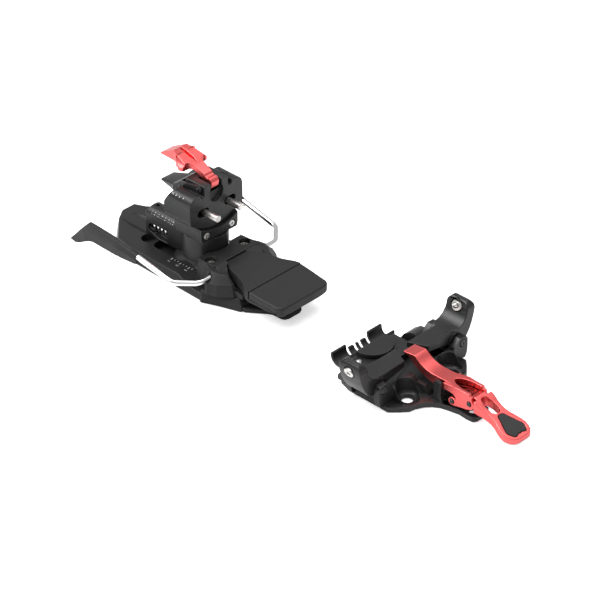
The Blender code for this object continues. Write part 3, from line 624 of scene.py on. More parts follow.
@dataclass
class HeelPlate:
    """Heel base plate with its rail channel, decorative creases, screw holes and scale."""

    rail_half: float = 14.0
    top: float = 8.0
    channel_floor: float = 2.5
    channel_start: float = -212.0
    screw_holes: tuple[Point, ...] = ((-219.5, 9.5), (-219.5, -9.5))
    scale_start: float = -190.5
    scale_step: float = 2.6

    def build(self) -> None:
        """Build the plate and its markings."""
        deliver(self.plate(), "plates", BLACK, ["heel_plate"])
        deliver(self.scale(), "plates", MARKING)
        dress(DARK, "length_screw")

    def plate(self) -> bpy.types.Object:
        """Tapered plate with channel, counterbores and creases."""
        foot = [(-257.6, 13.6), (-257.6, 2.2), (-252.2, -6.9), (-234, -26), (-229, -27.8), (-152, -29),
                (-152, 29),
                (-241, 27.2), (-250, 18)]
        crown = [(-257, 13), (-257, 2.5), (-251.5, -5.9), (-233.5, -23.4), (-228.5, -25), (-152, -26),
                 (-152, 26),
                 (-240, 24.8), (-249, 16.6)]
        rings = [[mm(x, y, z) for x, y in outline] for outline, z in ((foot, 0), (foot, 1.2),
                (crown, self.top))]
        plate = loft("heel_base_plate", rings)
        half = self.rail_half
        channel = slab("tool", [(self.channel_start + 4, -half), (-140, -half), (-140, half),
                                (self.channel_start + 4, half)]
                       + arc((self.channel_start + 4, half - 4), 4, 90, 180, 6)
                       + arc((self.channel_start + 4, 4 - half), 4, 180, 270, 6), self.channel_floor, 12)
        cut(plate, channel)
        cut(plate, bar("tool", (-262, 0, 5.2), (-205, 0, 5.2), 2.3),
            bar("tool", (-262, 0, 5.2), (-249.5, 0, 5.2), 2.6))
        for x, y in self.screw_holes:
            cut(plate, bar("tool", (x, y, 3.4), (x, y, 12), 4.8), bar("tool", (x, y, -1), (x, y, 6), 2.8))
        for side in (-1, 1):
            cut(plate, self.crease(side), self.front_slope(side))
        return soften(plate, 0.35, 2)

    def crease(self, side: int) -> bpy.types.Object:
        """Cutter for a shallow wedge-shaped groove beside the barrel."""
        rings = []
        for x, y, wide, deep in ((-248, 5.4, 0.4, 0.1), (-241, 6.2, 2.6, 1.1), (-222, 5.6, 1.8, 0.9),
                                 (-215, 5.4, 0.8, 0.2)):
            rings.append([mm(x, (y + a * wide) * side, self.top + 0.3 - b * (deep + 0.3))
                          for a, b in ((-0.5, 0), (0.5, 0), (0.35, 0.4), (-0.35, 1))])
        return loft("tool", rings)

    def front_slope(self, side: int) -> bpy.types.Object:
        """Cutter for the slope where the plate runs under the brake."""
        rings = []
        for y in (16, 32):
            rings.append([mm(x, y * side, z) for x, z in ((-175.5, 8), (-163, 4.6), (-150, 4.2), (-150, 12),
                    (-175.5, 12))])
        return loft("tool", rings)

    def scale(self) -> bpy.types.Object:
        """Row of setting marks with plain digits beside the rail."""
        marks = None
        for i in range(8):
            x = self.scale_start + i * self.scale_step
            long_mark = i % 3 == 0
            start = -15.1
            mark = block("length_scale", (x - 0.2, start - (2.2 if long_mark else 1.2), 7.99),
                         (x + 0.2, start, 8.03))
            marks = mark if marks is None else join(marks, mark)
        for i, digit in enumerate("123"):
            x = self.scale_start + i * 3 * self.scale_step
            marks = join_flat(marks, numeral(digit, 2.6, (x + 0.2, -19.4, 8.0), 0.04, -90))
        return marks


def numeral(text: str, size: float, place: Place, thick: float, turn: float = 0,
            tilt: float = 0) -> bpy.types.Object:
    """Plain raised characters as a mesh.

    Args:
        text: The characters.
        size: Height of a character in millimetres.
        place: Middle of the text, millimetres.
        thick: Height above the surface, millimetres.
        turn: Turn about the vertical, degrees.
        tilt: Turn about the text's own x axis first, degrees.

    Returns:
        The mesh object.
    """
    start_fresh()
    bpy.ops.object.text_add()
    words = bpy.context.object
    words.data.body = text
    words.data.size = size * MM
    words.data.extrude = thick * MM
    words.data.align_x = "CENTER"
    words.data.align_y = "CENTER"
    words.data.resolution_u = 3
    bpy.ops.object.convert(target="MESH")
    made = bpy.context.object
    spin = Matrix.Rotation(math.radians(turn), 4, "Z") @ Matrix.Rotation(math.radians(tilt), 4, "X")
    made.matrix_world = Matrix.Translation(mm(*place)) @ spin
    make_active(made)
    bpy.ops.object.transform_apply(location=True, rotation=True, scale=True)
    face_outwards(made)
    return made


def join_flat(first: bpy.types.Object, *others: bpy.types.Object) -> bpy.types.Object:
    """Put separate bodies in one object without welding them."""
    start_fresh()
    for other in others:
        other.select_set(True)
    first.select_set(True)
    bpy.context.view_layer.objects.active = first
    bpy.ops.object.join()
    return first


@dataclass
class Carriage:
    """Sliding foot with the flared column, and the barrel with the side release spring."""

    column_x: float = -176.0
    column_radius: float = 15.25
    column_top: float = 31.0
    flare_radius: float = 20.6
    barrel_half: float = 6.9
    barrel_rear: float = -224.6
    spring_z: float = 15.2
    spring_radius: float = 4.5
    wire: float = 0.95

    def build(self) -> None:
        """Build the column, barrel, spring and screw."""
        deliver(self.column(), "carriage", BLACK, ["carriage"])
        deliver(self.barrel(), "carriage", BLACK, ["spring_housing"])
        deliver(self.barrel_marks(), "carriage", MARKING)
        deliver(self.spring(), "carriage", WIRE, ["release_spring"])
        deliver(self.screw(), "carriage", DARK, ["release_screw"])
        dress(DARK, "release_piston")

    def flare(self, grow: float = 0.0) -> list[Point]:
        """Profile of the column with its flared skirt."""
        skirt = arc((self.flare_radius + 0.2, 14.2), self.flare_radius + 0.2 - self.column_radius, -90,
                    -180, 10)
        return ([(self.flare_radius + grow, 7.2), (self.flare_radius + grow, 8.6)]
                + [(r + grow, z) for r, z in skirt] + [(self.column_radius + grow, self.column_top)])

    def column(self) -> bpy.types.Object:
        """Flat-sided foot, skirt and hollow column."""
        x = self.column_x
        ring = lathe("column_and_foot", self.flare(), (x, 0, 0), (0, 0, 1), 72)
        trim(ring, block("tool", (-230, -15.6, 5), (-120, 15.6, 13)))
        cut(ring, block("tool", (-230, 13.95, 5), (-120, 18, 8.2)),
            block("tool", (-230, -18, 5), (-120, -13.95, 8.2)))
        join(ring, bar("core", (x, 0, 12.6), (x, 0, self.column_top), self.column_radius, 72))
        foot = slab("foot", [(-193, -13.7), (-158.5, -13.7), (-158.5, 13.7), (-193, 13.7)], 2.8, 7.8)
        edge = slab("foot", [(-188, -14.6), (-158.5, -14.6), (-158.5, 14.6), (-188, 14.6)], 8.2, 8.8)
        join(ring, foot, edge)
        cut(ring, bar("tool", (x, 0, 10), (x, 0, 40), 7.4), bar("tool", (-205, 0, 5.2), (-150, 0, 5.2), 2.3))
        return soften(ring, 0.3, 2)

    def barrel(self) -> bpy.types.Object:
        """Arched barrel with its crease, window and small top hole."""
        half = self.barrel_half
        crown = arc((0, 21.2), 7.9, 29, 151, 16)
        outline = [(half, 8.3)] + crown + [(-half, 8.3)]
        body = slab("spring_barrel", outline, self.barrel_rear, -186, Plane.FRONT)
        face = [(self.barrel_rear - 1, 8), (self.barrel_rear, 24.5), (self.barrel_rear + 2.2, 30),
                (-186, 30), (-186, 8)]
        trim(body, slab("tool", face, -10, 10, Plane.SIDE))
        cut(body, lathe("tool", [(r + 0.35, z) for r, z in self.flare() + [(self.column_radius, 40)]],
                        (self.column_x, 0, 0), (0, 0, 1), 72))
        cut(body, bar("tool", (-230, 0, self.spring_z), (-185, 0, self.spring_z), 5.7))
        window = [(-222, 13.6), (-221.4, 16.6), (-219.6, 17.8), (-206, 18.2), (-204.2, 16.8), (-203.6, 11),
                  (-204.4, 9.2),
                  (-212.6, 9.2), (-221.4, 12.2)]
        cut(body, slab("tool", window, -9, -2.8, Plane.SIDE))
        cut(body, bar("tool", (-219.4, 0, 24), (-219.4, 0, 34), 1.35, 24))
        return soften(body, 0.4, 3)

    def barrel_marks(self) -> bpy.types.Object:
        """Plain row of setting numbers along the barrel's shoulder."""
        marks = None
        for i, text in enumerate(("4", "5", "6", "7", "8", "9", "10")):
            x = -219.5 + i * 3.2
            spot = numeral(text, 3.0, (x, -6.05, 26.15), 0.05, 0, 50)
            dash = numeral("|", 1.5, (x + 1.55, -6.15, 26.05), 0.05, 0, 50)
            marks = join_flat(spot, dash) if marks is None else join_flat(marks, spot, dash)
        marks.name = "release_scale"
        return marks

    def spring(self) -> bpy.types.Object:
        """Coil seen through the barrel's window."""
        turns, steps, pitch = 5, 28, 3.5
        path = []
        for i in range(turns * steps + 1):
            t = 2 * math.pi * i / steps
            path.append((-220.2 + pitch * i / steps, self.spring_radius * math.cos(t),
                         self.spring_z + self.spring_radius * math.sin(t)))
        coil = sweep("release_coil", path, self.wire)
        return soften(coil, 0)

    def screw(self) -> bpy.types.Object:
        """Slotted screw in the barrel's rear."""
        profile = [(4.2, 0), (4.9, 0.7), (4.9, 4.2), (4.4, 4.6)]
        head = lathe("release_adjuster", profile, (-225.2, 0, self.spring_z), (1, 0, 0), 48)
        cut(head, block("tool", (-226, -3.8, self.spring_z - 0.6), (-223.9, 3.8, self.spring_z + 0.6)))
        return soften(head, 0.15, 2)


@dataclass
class Turret:
    """Turning cradle and tower with the heel pins, their screws and the flap pin."""

    rear_x: float = -189.0
    front_x: float = -165.0
    belly_z: float = 70.4
    belly_radius: float = 32.8
    bridge_half: float = 10.4
    bridge_top: float = 70.0
    pin_y: float = 10.2
    pin_z: float = 51.6
    pin_radius: float = 2.4
    flap_axis: Point = (-169.5, 67.4)
    screw_y: float = 11.0
    screw_z: float = 34.9

    def build(self) -> None:
        """Build the cradle, tower, pins and screws."""
        deliver(self.cradle(), "turret", BLACK, ["turret_base"])
        deliver(self.tower(), "turret", BLACK, ["heel_tower"])
        deliver(self.tower_marks(), "turret", MARKING)
        for hand in Hand:
            deliver(self.pin(hand), f"heel_pin_{hand.word}", STEEL, [f"heel_pin_{hand.word}"])
            deliver(self.screw(hand), "turret", STEEL, [f"turret_screw_{hand.word}"])
            dress(DARK, f"heel_buffer_{hand.word}")
        deliver(self.flap_pin(), "turret", DARK, ["flap_pin"])
        dress(STEEL, "turret_spindle")

    def cradle(self) -> bpy.types.Object:
        """Block under the tower, hollowed to the tower's belly."""
        reach = math.degrees(math.asin(17.1 / (self.belly_radius + 0.3)))
        rim = arc((0, self.belly_z), self.belly_radius + 0.3, -90 + reach, -90 - reach, 20)
        outline = rim + [(-17.3, 39), (-15.4, 31.3), (15.4, 31.3), (17.3, 39)]
        base = slab("tower_cradle", outline, -189, -162, Plane.FRONT)
        cut(base, bar("tool", (-176, 0, 20), (-176, 0, 35.8), 7.4))
        plan = [(-188.4, 12.5), (-186, 17.4), (-166.5, 17.4), (-162.6, 16.2)]
        trim(base, slab("tool", mirrored(plan), 20, 50))
        for side in (-1, 1):
            y = self.screw_y * side
            cut(base, bar("tool", (-170, y, self.screw_z), (-160, y, self.screw_z), 2.7))
        return soften(base, 0.25, 2)

    def screw(self, hand: Hand) -> bpy.types.Object:
        """Socket screw in the cradle's front."""
        y, z = self.screw_y * hand.value, self.screw_z
        head = lathe(f"cradle_screw_{hand.word}", [(1.5, 0), (1.5, 4), (2.45, 4), (2.45, 6.5), (2.0, 7.1)],
                     (-169.6, y, z), (1, 0, 0), 40)
        cut(head, bar("tool", (-163.6, y, z), (-162, y, z), 0.95, 6))
        return soften(head, 0.12, 2)

    def profile(self) -> list[Point]:
        """Half of the tower's front outline, as (y, z)."""
        belly = arc((0, self.belly_z), self.belly_radius, -90, -51, 12)
        shoulder = [(22.6, 46.4), (23.4, 48.8), (23.4, 58.6)] + arc((16.6, 58.9), 6.7, 0, 86, 8)
        lip = [(14.9, 65.6), (13.9, 64.9), (12.9, 62.6), (11.4, 62.2)]
        crown = [(self.bridge_half, 62.9), (self.bridge_half, 69.4), (9.8, self.bridge_top)]
        return belly + shoulder + lip + crown

    def tower(self) -> bpy.types.Object:
        """Tower with rounded shoulders, a bridge, pin slots, pockets and the flap notch."""
        half = self.profile()
        outline = half + sided_front(half[:0:-1], -1)
        body = slab("pin_tower", outline, self.rear_x, self.front_x, Plane.FRONT)
        rear = [(-190, 53.6), (-188.2, 57), (-182.4, 66.2), (-182.4, 75), (-196, 75), (-196, 53.6)]
        cut(body, slab("tool", rear, -30, 30, Plane.SIDE))
        lower = [(-190, 48), (-187.4, 43), (-186.6, 36), (-190, 36)]
        cut(body, slab("tool", lower, -30, 30, Plane.SIDE))
        for side in (-1, 1):
            outline = [(9.8, 48.9), (13.9, 48.9)] + arc((13.9, self.pin_z), 2.7, -80, 80,
                    8) + [(13.9, 54.3), (9.8, 54.3)]
            outline += arc((9.8, self.pin_z), 2.7, 100, 260, 8)
            cut(body, slab("tool", sided_front(outline, side), -187, -160, Plane.FRONT))
        notch = [(-4.8, 66.2), (-3.2, 62.9), (3.2, 62.9), (4.8, 66.2), (4.8, 80), (-4.8, 80)]
        cut(body, slab("tool", notch, -172.2, -160, Plane.FRONT))
        cut(body, block("tool", (-176.4, -4.8, 64), (-160, 4.8, 80)))
        pentagon = [(0, 55.4), (-4.2, 57.2), (-6, 61.2), (-5.2, 65.2), (5.2, 65.2), (6, 61.2), (4.2, 57.2)]
        cut(body, slab("tool", pentagon, -167.4, -160, Plane.FRONT))
        cut(body, bar("tool", (-177.6, -12.2, 64), (-169, -12.2, 64), 1.5, 24))
        x, z = self.flap_axis
        cut(body, bar("tool", (x, -14, z), (x, 14, z), 1.5, 24),
            bar("tool", (-179.4, 0, 64), (-179.4, 0, 72), 1.7, 24))
        return soften(body, 0.45, 3)

    def tower_marks(self) -> bpy.types.Object:
        """Plain setting numbers on the right shoulder's crown."""
        marks = None
        for i, text in enumerate(("10", "8", "6", "4")):
            spot = numeral(text, 1.9, (-182 + i * 3.1, -21.75, 63.45), 0.03, 0, 42)
            marks = spot if marks is None else join_flat(marks, spot)
        marks.name = "tower_scale"
        return marks

    def pin(self, hand: Hand) -> bpy.types.Object:
        """Heel pin with a chamfered tip."""
        r = self.pin_radius
        profile = [(r - 0.3, 0), (r, 0.3), (r, 33.1), (r - 0.15, 33.35), (r - 0.4, 33.6)]
        pin = lathe(f"boot_heel_pin_{hand.word}", profile, (-186.5, self.pin_y * hand.value, self.pin_z),
                    (1, 0, 0), 48)
        return soften(pin, 0)

    def flap_pin(self) -> bpy.types.Object:
        """Cross pin of the climbing flaps, with domed ends."""
        x, z = self.flap_axis
        pin = lathe("flap_cross_pin", [(0.7, 0), (1.2, 0.4), (1.2, 25.4), (0.7, 25.8)], (x, -12.9, z),
                    (0, 1, 0), 32)
        return soften(pin, 0)


def sided_front(outline: Sequence[Point], side: int) -> list[Point]:
    """Put a front outline of (across, up) points on one side."""
    return [(y * side, z) for y, z in outline]


@dataclass
class ClimbingFlaps:
    """Red and black flaps that fold over the heel pins as climbing aids."""

    axis: Point = (-169.5, 67.4)

    def build(self) -> None:
        """Build both flaps."""
        deliver(self.red(), "red_flap", RED, ["red_flap"])
        deliver(self.black(), "black_flap", BLACK, ["black_flap"])

    def red(self) -> bpy.types.Object:
        """Red flap: wedge tip, grooved back, hanging ears, narrow neck and hooked root."""
        upper = [(-209.9, 75.1), (-197.4, 81.7), (-193, 80.8), (-190.8, 80.2), (-187, 79.0), (-184, 78.1),
                 (-180.4, 77.0), (-176.4, 75.4), (-172.6, 73.6), (-169.6, 72.6), (-167, 71.2),
                 (-165.8, 69.6), (-165.9, 67.4)]
        lower = [(-166.6, 65.2), (-169.4, 64.4), (-172, 65.6), (-173.6, 68.4), (-176.6, 71), (-180.4, 73),
                 (-184, 73.4), (-190, 73.2), (-196, 74.2), (-209.9, 74.2)]
        body = slab("upper_climbing_flap", upper + lower, -13, 13, Plane.SIDE)
        plan = ([(-210.4, 5.7), (-197.4, 6.0), (-194.8, 6.8), (-192.4, 8.8), (-190.2, 9.4), (-188.8, 10.8),
                 (-186.4, 11.4),
                 (-184.2, 10.8)]
                + arc((-181.2, 7.4), 3.2, 150, 250, 8) + [(-179.6, 3.9), (-174, 3.5), (-165.4, 3.3)])
        trim(body, slab("tool", mirrored(plan), 60, 90))
        for side in (-1, 1):
            slope = sided_front([(7.2, 80.6), (9.2, 77.2), (12.6, 75.0), (14, 84), (7.2, 84)], side)
            cut(body, slab("tool", slope, -192.6, -181, Plane.FRONT))
        groove = loft("tool", [[mm(x, y * w, z) for y, z in ((-1, 84), (1, 84), (0.25, z0), (-0.25, z0))]
                               for x, w, z0 in ((-197.4, 1.2, 79.8), (-193, 1.8, 78.0), (-187, 2.4, 76.6),
                                                (-181.6, 0.6, 77.2))])
        cut(body, groove)
        cut(body, bar("tool", (-169.6, -5, 74.6), (-169.6, 5, 74.6), 2.9, 32))
        x, z = self.axis
        cut(body, bar("tool", (x, -8, z), (x, 8, z), 1.45, 24))
        return soften(body, 0.3, 3)

    def black(self) -> bpy.types.Object:
        """Black flap: chamfered blade on two arms beside the bridge."""
        blade = [(-210, 5.9, 54.7, 55.6), (-207, 6.6, 54.7, 56.6), (-197.3, 8.8, 54.9, 59.4),
                 (-195.6, 9.6, 55.2, 59.6),
                 (-191.6, 12.4, 57.4, 62.0), (-190.4, 12.6, 58.0, 62.8)]
        rings = []
        for x, half, low, high in blade:
            edge = min(1.1, (high - low) / 3)
            rings.append([mm(x, y, z) for y, z in ((-half, low), (half, low), (half, high - edge),
                                                   (half - 2 * edge, high), (-half + 2 * edge, high),
                                                   (-half, high - edge))])
        body = loft("lower_climbing_flap", rings)
        side_view = [(-191.6, 58.2), (-190.2, 58.6), (-185.4, 63.8), (-178, 65.2), (-171.4, 65.0),
                     (-169.4, 64.7),
                     (-167.2, 66), (-166.9, 68.4), (-168.6, 69.9), (-171.6, 69.6), (-179, 68.2),
                     (-185.6, 66.6), (-191.6, 62.2)]
        for low, high in ((10.8, 12.6), (-12.6, -10.8)):
            join(body, slab("arm", side_view, low, high, Plane.SIDE))
        x, z = self.axis
        cut(body, bar("tool", (x, -20, z), (x, 20, z), 1.5, 24))
        return soften(body, 0.3, 2)


# ------------------------------------------------------------------ ski brake

@dataclass
class SkiBrake:
    """Brake body, pedal, bright wire arms and their plastic shovels."""

    axis: Point = (-146.5, 17.9)
    wire: float = 1.9
    width_half: float = 47.2
    screw: Point = (-155.8, 15.0)
    column: Point = (-176.0, 15.25)
    skirt_top: float = 14.2
    skirt_curve: float = 5.55

    def build(self) -> None:
        """Build the brake from the plate upwards."""
        deliver(self.lower_body(), "plates", PLASTIC, ["brake_plate"])
        deliver(self.upper_body(), "plates", PLASTIC, ["brake_base"])
        deliver(self.pedal(), "pedal", PLASTIC, ["brake_pedal"])
        deliver(self.pad(), "pedal", PLASTIC, ["pedal_pad"])
        for hand in Hand:
            deliver(self.screw_head(hand), "plates", STEEL, [f"brake_screw_{hand.word}"])
            deliver(self.arm(hand), "brake_arms", WIRE, [f"brake_arm_{hand.word}"])
            deliver(self.shovel(hand), "brake_arms", PLASTIC, [f"brake_tip_{hand.word}"])
        dress(DARK, "pedal_pin", "brake_spring")

    def lower_body(self) -> bpy.types.Object:
        """Flared lower body with a thin tongue."""
        foot = [(-151.7, 29.6), (-149.5, 30.4), (-137.7, 25.5), (-123.2, 20.6)]
        waist = [(-151.7, 29.2), (-149.2, 29.8), (-137.9, 25.0), (-123.6, 20.2)]
        crown = [(-151.7, 28), (-148.8, 28.0), (-138.7, 23.8), (-126.4, 18.6)]
        body = loft("brake_lower_body", [[mm(x, y, z) for x, y in mirrored(half)]
                                         for half, z in ((foot, 0), (waist, 4.6), (crown, 7.9))])
        tongue = [(-125, 19.4), (-121.5, 19.2), (-110, 10.6), (-107, 9), (-99.4, 8.6), (-97.2, 7.4),
                  (-96.2, 4.6)]
        join(body, slab("tongue", mirrored(tongue), 0, 3))
        cut(body, slab("tool", mirrored([(-121, 16), (-110.6, 8.6), (-107, 7), (-99.8, 6.6), (-98.2, 5)]),
                       2.2, 5))
        cut(body, bar("tool", (-103, 0, -1), (-103, 0, 5), 2.6))
        return soften(body, 0.45, 3)

    def upper_body(self) -> bpy.types.Object:
        """Faceted upper body that wraps the column and carries the wires."""
        view = [(-163.5, 8.3), (-123.5, 8.3), (-123.5, 11.4), (-140, 13.2), (-150.9, 13.2), (-150.9, 21.2),
                (-148.2, 21.75),
                (-148.4, 22.5), (-150.4, 22.7), (-163.5, 22.3)]
        body = slab("brake_upper_body", view, -19.1, 19.1, Plane.SIDE)
        for hand in Hand:
            s = hand.value
            low = [(-163.4, 17.5), (-163.4, 20.2), (-155.4, 21.6), (-150.6, 26), (-144.8, 30.4),
                   (-137.6, 28.2), (-129, 20.6), (-129, 17.5)]
            mid = [(-163.2, 17.5), (-163, 20), (-155.4, 21.2), (-150.2, 25.2), (-144.4, 29.4),
                   (-138.6, 26.6), (-131.5, 20.2), (-131.5, 17.5)]
            high = [(-162.6, 17.5), (-162.4, 19.4), (-155.6, 20), (-150.6, 21.8), (-146.4, 23.4),
                    (-141.6, 22), (-137.6, 19.4), (-137.6, 17.5)]
            rings = [[mm(x, y * s, z) for x, y in ring] for ring, z in ((low, 8.3), (mid, 15.6))]
            rings.append([mm(x, y * s, 22.3 - max(0, (x + 150) * 0.14)) for x, y in high])
            join(body, loft("cheek", rings))
            infill = [(-151.2, 12.8), (-151.2, 22.4), (-147.4, 22), (-142, 20.6), (-137.4, 17.6),
                      (-133.4, 12.8)]
            join(body, slab("infill", infill, *sorted((8.6 * s, 18.4 * s)), Plane.SIDE))
            clear = [(-151.1, 5), (-151.1, 9), (-147.2, 9.7), (-143.4, 12.2), (-140.2, 14.6), (-136, 16.2),
                     (-130, 17.7), (-120, 18), (-120, 5)]
            cut(body, slab("tool", sided(clear, hand), 13.2, 21.4))
            x, z = self.axis
            cut(body, bar("tool", (x, 19.8 * s, z), (x, 33 * s, z), self.wire + 0.45))
            sx, sy = self.screw[0], self.screw[1] * s
            cut(body, bar("tool", (sx, sy, 17), (sx, sy, 25), 3.7),
                bar("tool", (sx, sy, 5), (sx, sy, 25), 2.4))
        profile = [(self.flare(z) + 0.8, z) for z in (7, 8.6, 9, 9.8, 11, 12.4, 14.2, 26)]
        cut(body, lathe("tool", profile, (self.column[0], 0, 0), (0, 0, 1), 72))
        return soften(body, 0.4, 3, 18)

    def flare(self, height: float) -> float:
        """Radius of the column's skirt at a height."""
        if height >= self.skirt_top:
            return self.column[1]
        drop = self.skirt_top - max(height, self.skirt_top - self.skirt_curve)
        return self.column[1] + self.skirt_curve - math.sqrt(max(0.0, self.skirt_curve ** 2 - drop ** 2))

    def screw_head(self, hand: Hand) -> bpy.types.Object:
        """Brake screw with a socket."""
        x, y = self.screw[0], self.screw[1] * hand.value
        head = lathe(f"brake_bolt_{hand.word}", [(2, 0), (2, 8.6), (3.2, 8.6), (3.2, 11), (2.7, 11.5)],
                     (x, y, 8.8), (0, 0, 1), 40)
        cut(head, bar("tool", (x, y, 18.4), (x, y, 22), 1.55, 6))
        return soften(head, 0.15, 2)

    def pedal(self) -> bpy.types.Object:
        """Waisted pedal behind the pad, with a raised middle."""
        x, z = self.axis
        rear = arc((x, z), 3.9, 235, 100, 9)
        view = rear + [(-143.5, 22.4), (-139, 22.9), (-127, 22.1), (-113.9, 21.1), (-113.9, 15.8),
                       (-91, 15.1), (-91, 13.0),
                       (-124, 14.2), (-143.5, 15.2)]
        body = slab("brake_foot_pedal", view, -25, 25, Plane.SIDE)
        plan = [(-151, 8.2), (-147.2, 8.8), (-143.6, 11.2), (-140.4, 13.6), (-136, 15.2), (-130, 16.6),
                (-125, 18.2),
                (-121, 20.6), (-117.6, 22.8), (-113.9, 23.8), (-96, 22.4), (-91, 20)]
        trim(body, slab("tool", mirrored(plan), 5, 30))
        for side in (-1, 1):
            ramp = [[mm(px, py * side, pz) for px, py, pz in ring] for ring in (
                ((-152, 9.5, 24.8), (-152, 30, 24.8), (-152, 30, 14.6)),
                ((-134, 14.2, 24.2), (-134, 30, 24.2), (-134, 30, 16.2)),
                ((-118, 22.4, 23.4), (-118, 30, 23.4), (-118, 30, 16.4)))]
            cut(body, loft("tool", ramp))
        cut(body, bar("tool", (x, -25, z), (x, 25, z), 1.8, 24),
            block("tool", (-151, -5, 10), (x + 3.4, 5, 20.8)))
        return soften(body, 0.5, 3, 16)

    def pad(self) -> bpy.types.Object:
        """Smooth pad with rounded corners over the front of the pedal."""
        edge = [(-113.3, 23.6), (-103, 23.2), (-94.2, 22.6)] + arc((-91.6, 18.0), 4.6, 78, 8,
                6) + [(-86.5, 12.6)]
        rings = []
        for inset, low, high in ((0.5, 14.6, 12.6), (0, 16.0, 13.8), (0, 20.2, 18.2), (0.35, 20.9, 18.9),
                                 (1.1, 21.2, 19.2)):
            ring = []
            for x, y in mirrored(edge):
                t = (x + 113.4) / 27.1
                front = x if x < -112 else x - inset * 0.8
                ring.append(mm(front, y - math.copysign(inset, y), low + (high - low) * t))
            rings.append(ring)
        pad = loft("brake_foot_pad", rings)
        under = [(-120, 8), (-89.6, 8), (-89.6, 15.3), (-113.9, 16.2), (-120, 16.2)]
        cut(pad, slab("tool", under, -21.4, 21.4, Plane.SIDE))
        cut(pad, slab("tool", [(-120, 8), (-90.8, 8), (-90.8, 15.3), (-113.9, 16.2), (-120, 16.2)], -30, 30,
                      Plane.SIDE))
        return soften(pad, 0.5, 3, 24)

    def arm(self, hand: Hand) -> bpy.types.Object:
        """Bright bent wire."""
        x, z = self.axis
        s = hand.value
        corners = [(x, 20 * s, z), (x, 34.2 * s, z), (-158.1, 46.1 * s, 18.4),
                   (-188.6, self.width_half * s, 24.4)]
        wire = sweep(f"brake_wire_{hand.word}", bent(corners, 3.2), self.wire, 10)
        return soften(wire, 0)

    def shovel(self, hand: Hand) -> bpy.types.Object:
        """Plastic shovel: thick socket end, ridge and a hooked flat tip.

        Args:
            hand: Side of the shovel.

        Returns:
            The mesh object.
        """
        s = hand.value
        stations = ((-188.2, 20.0, 25.8, 2.3, 23.6), (-190.5, 19.4, 26.6, 2.6, 24.2),
                    (-200, 18.6, 28.4, 2.7, 25.2),
                    (-209, 18.3, 29.9, 2.8, 26.2), (-220, 18.4, 30.7, 2.8, 26.8),
                    (-228.6, 18.6, 31.3, 2.7, 27),
                    (-233, 17.4, 31.4, 2.5, 26), (-238, 14.6, 26.6, 2.2, 22.4), (-243, 11.6, 21.4, 1.9, 17.4),
                    (-247, 10.2, 16.8, 1.6, 13.6), (-251.6, 10.9, 11.9, 1.2, 11.4))
        rings = []
        for x, low, high, half, mid in stations:
            y = self.width_half
            lean = (high - low) * 0.12
            ring = ((y - half, low + lean), (y + half * 0.8, low), (y + half, mid - lean),
                    (y + half * 0.62, high - lean * 0.4),
                    (y - half * 0.2, high), (y - half, high - lean * 1.4))
            rings.append([mm(x, py * s, pz) for py, pz in ring])
        tip = loft(f"brake_shovel_{hand.word}", rings)
        return soften(tip, 0.35, 3, 20)


# ------------------------------------------------------------------ toe unit

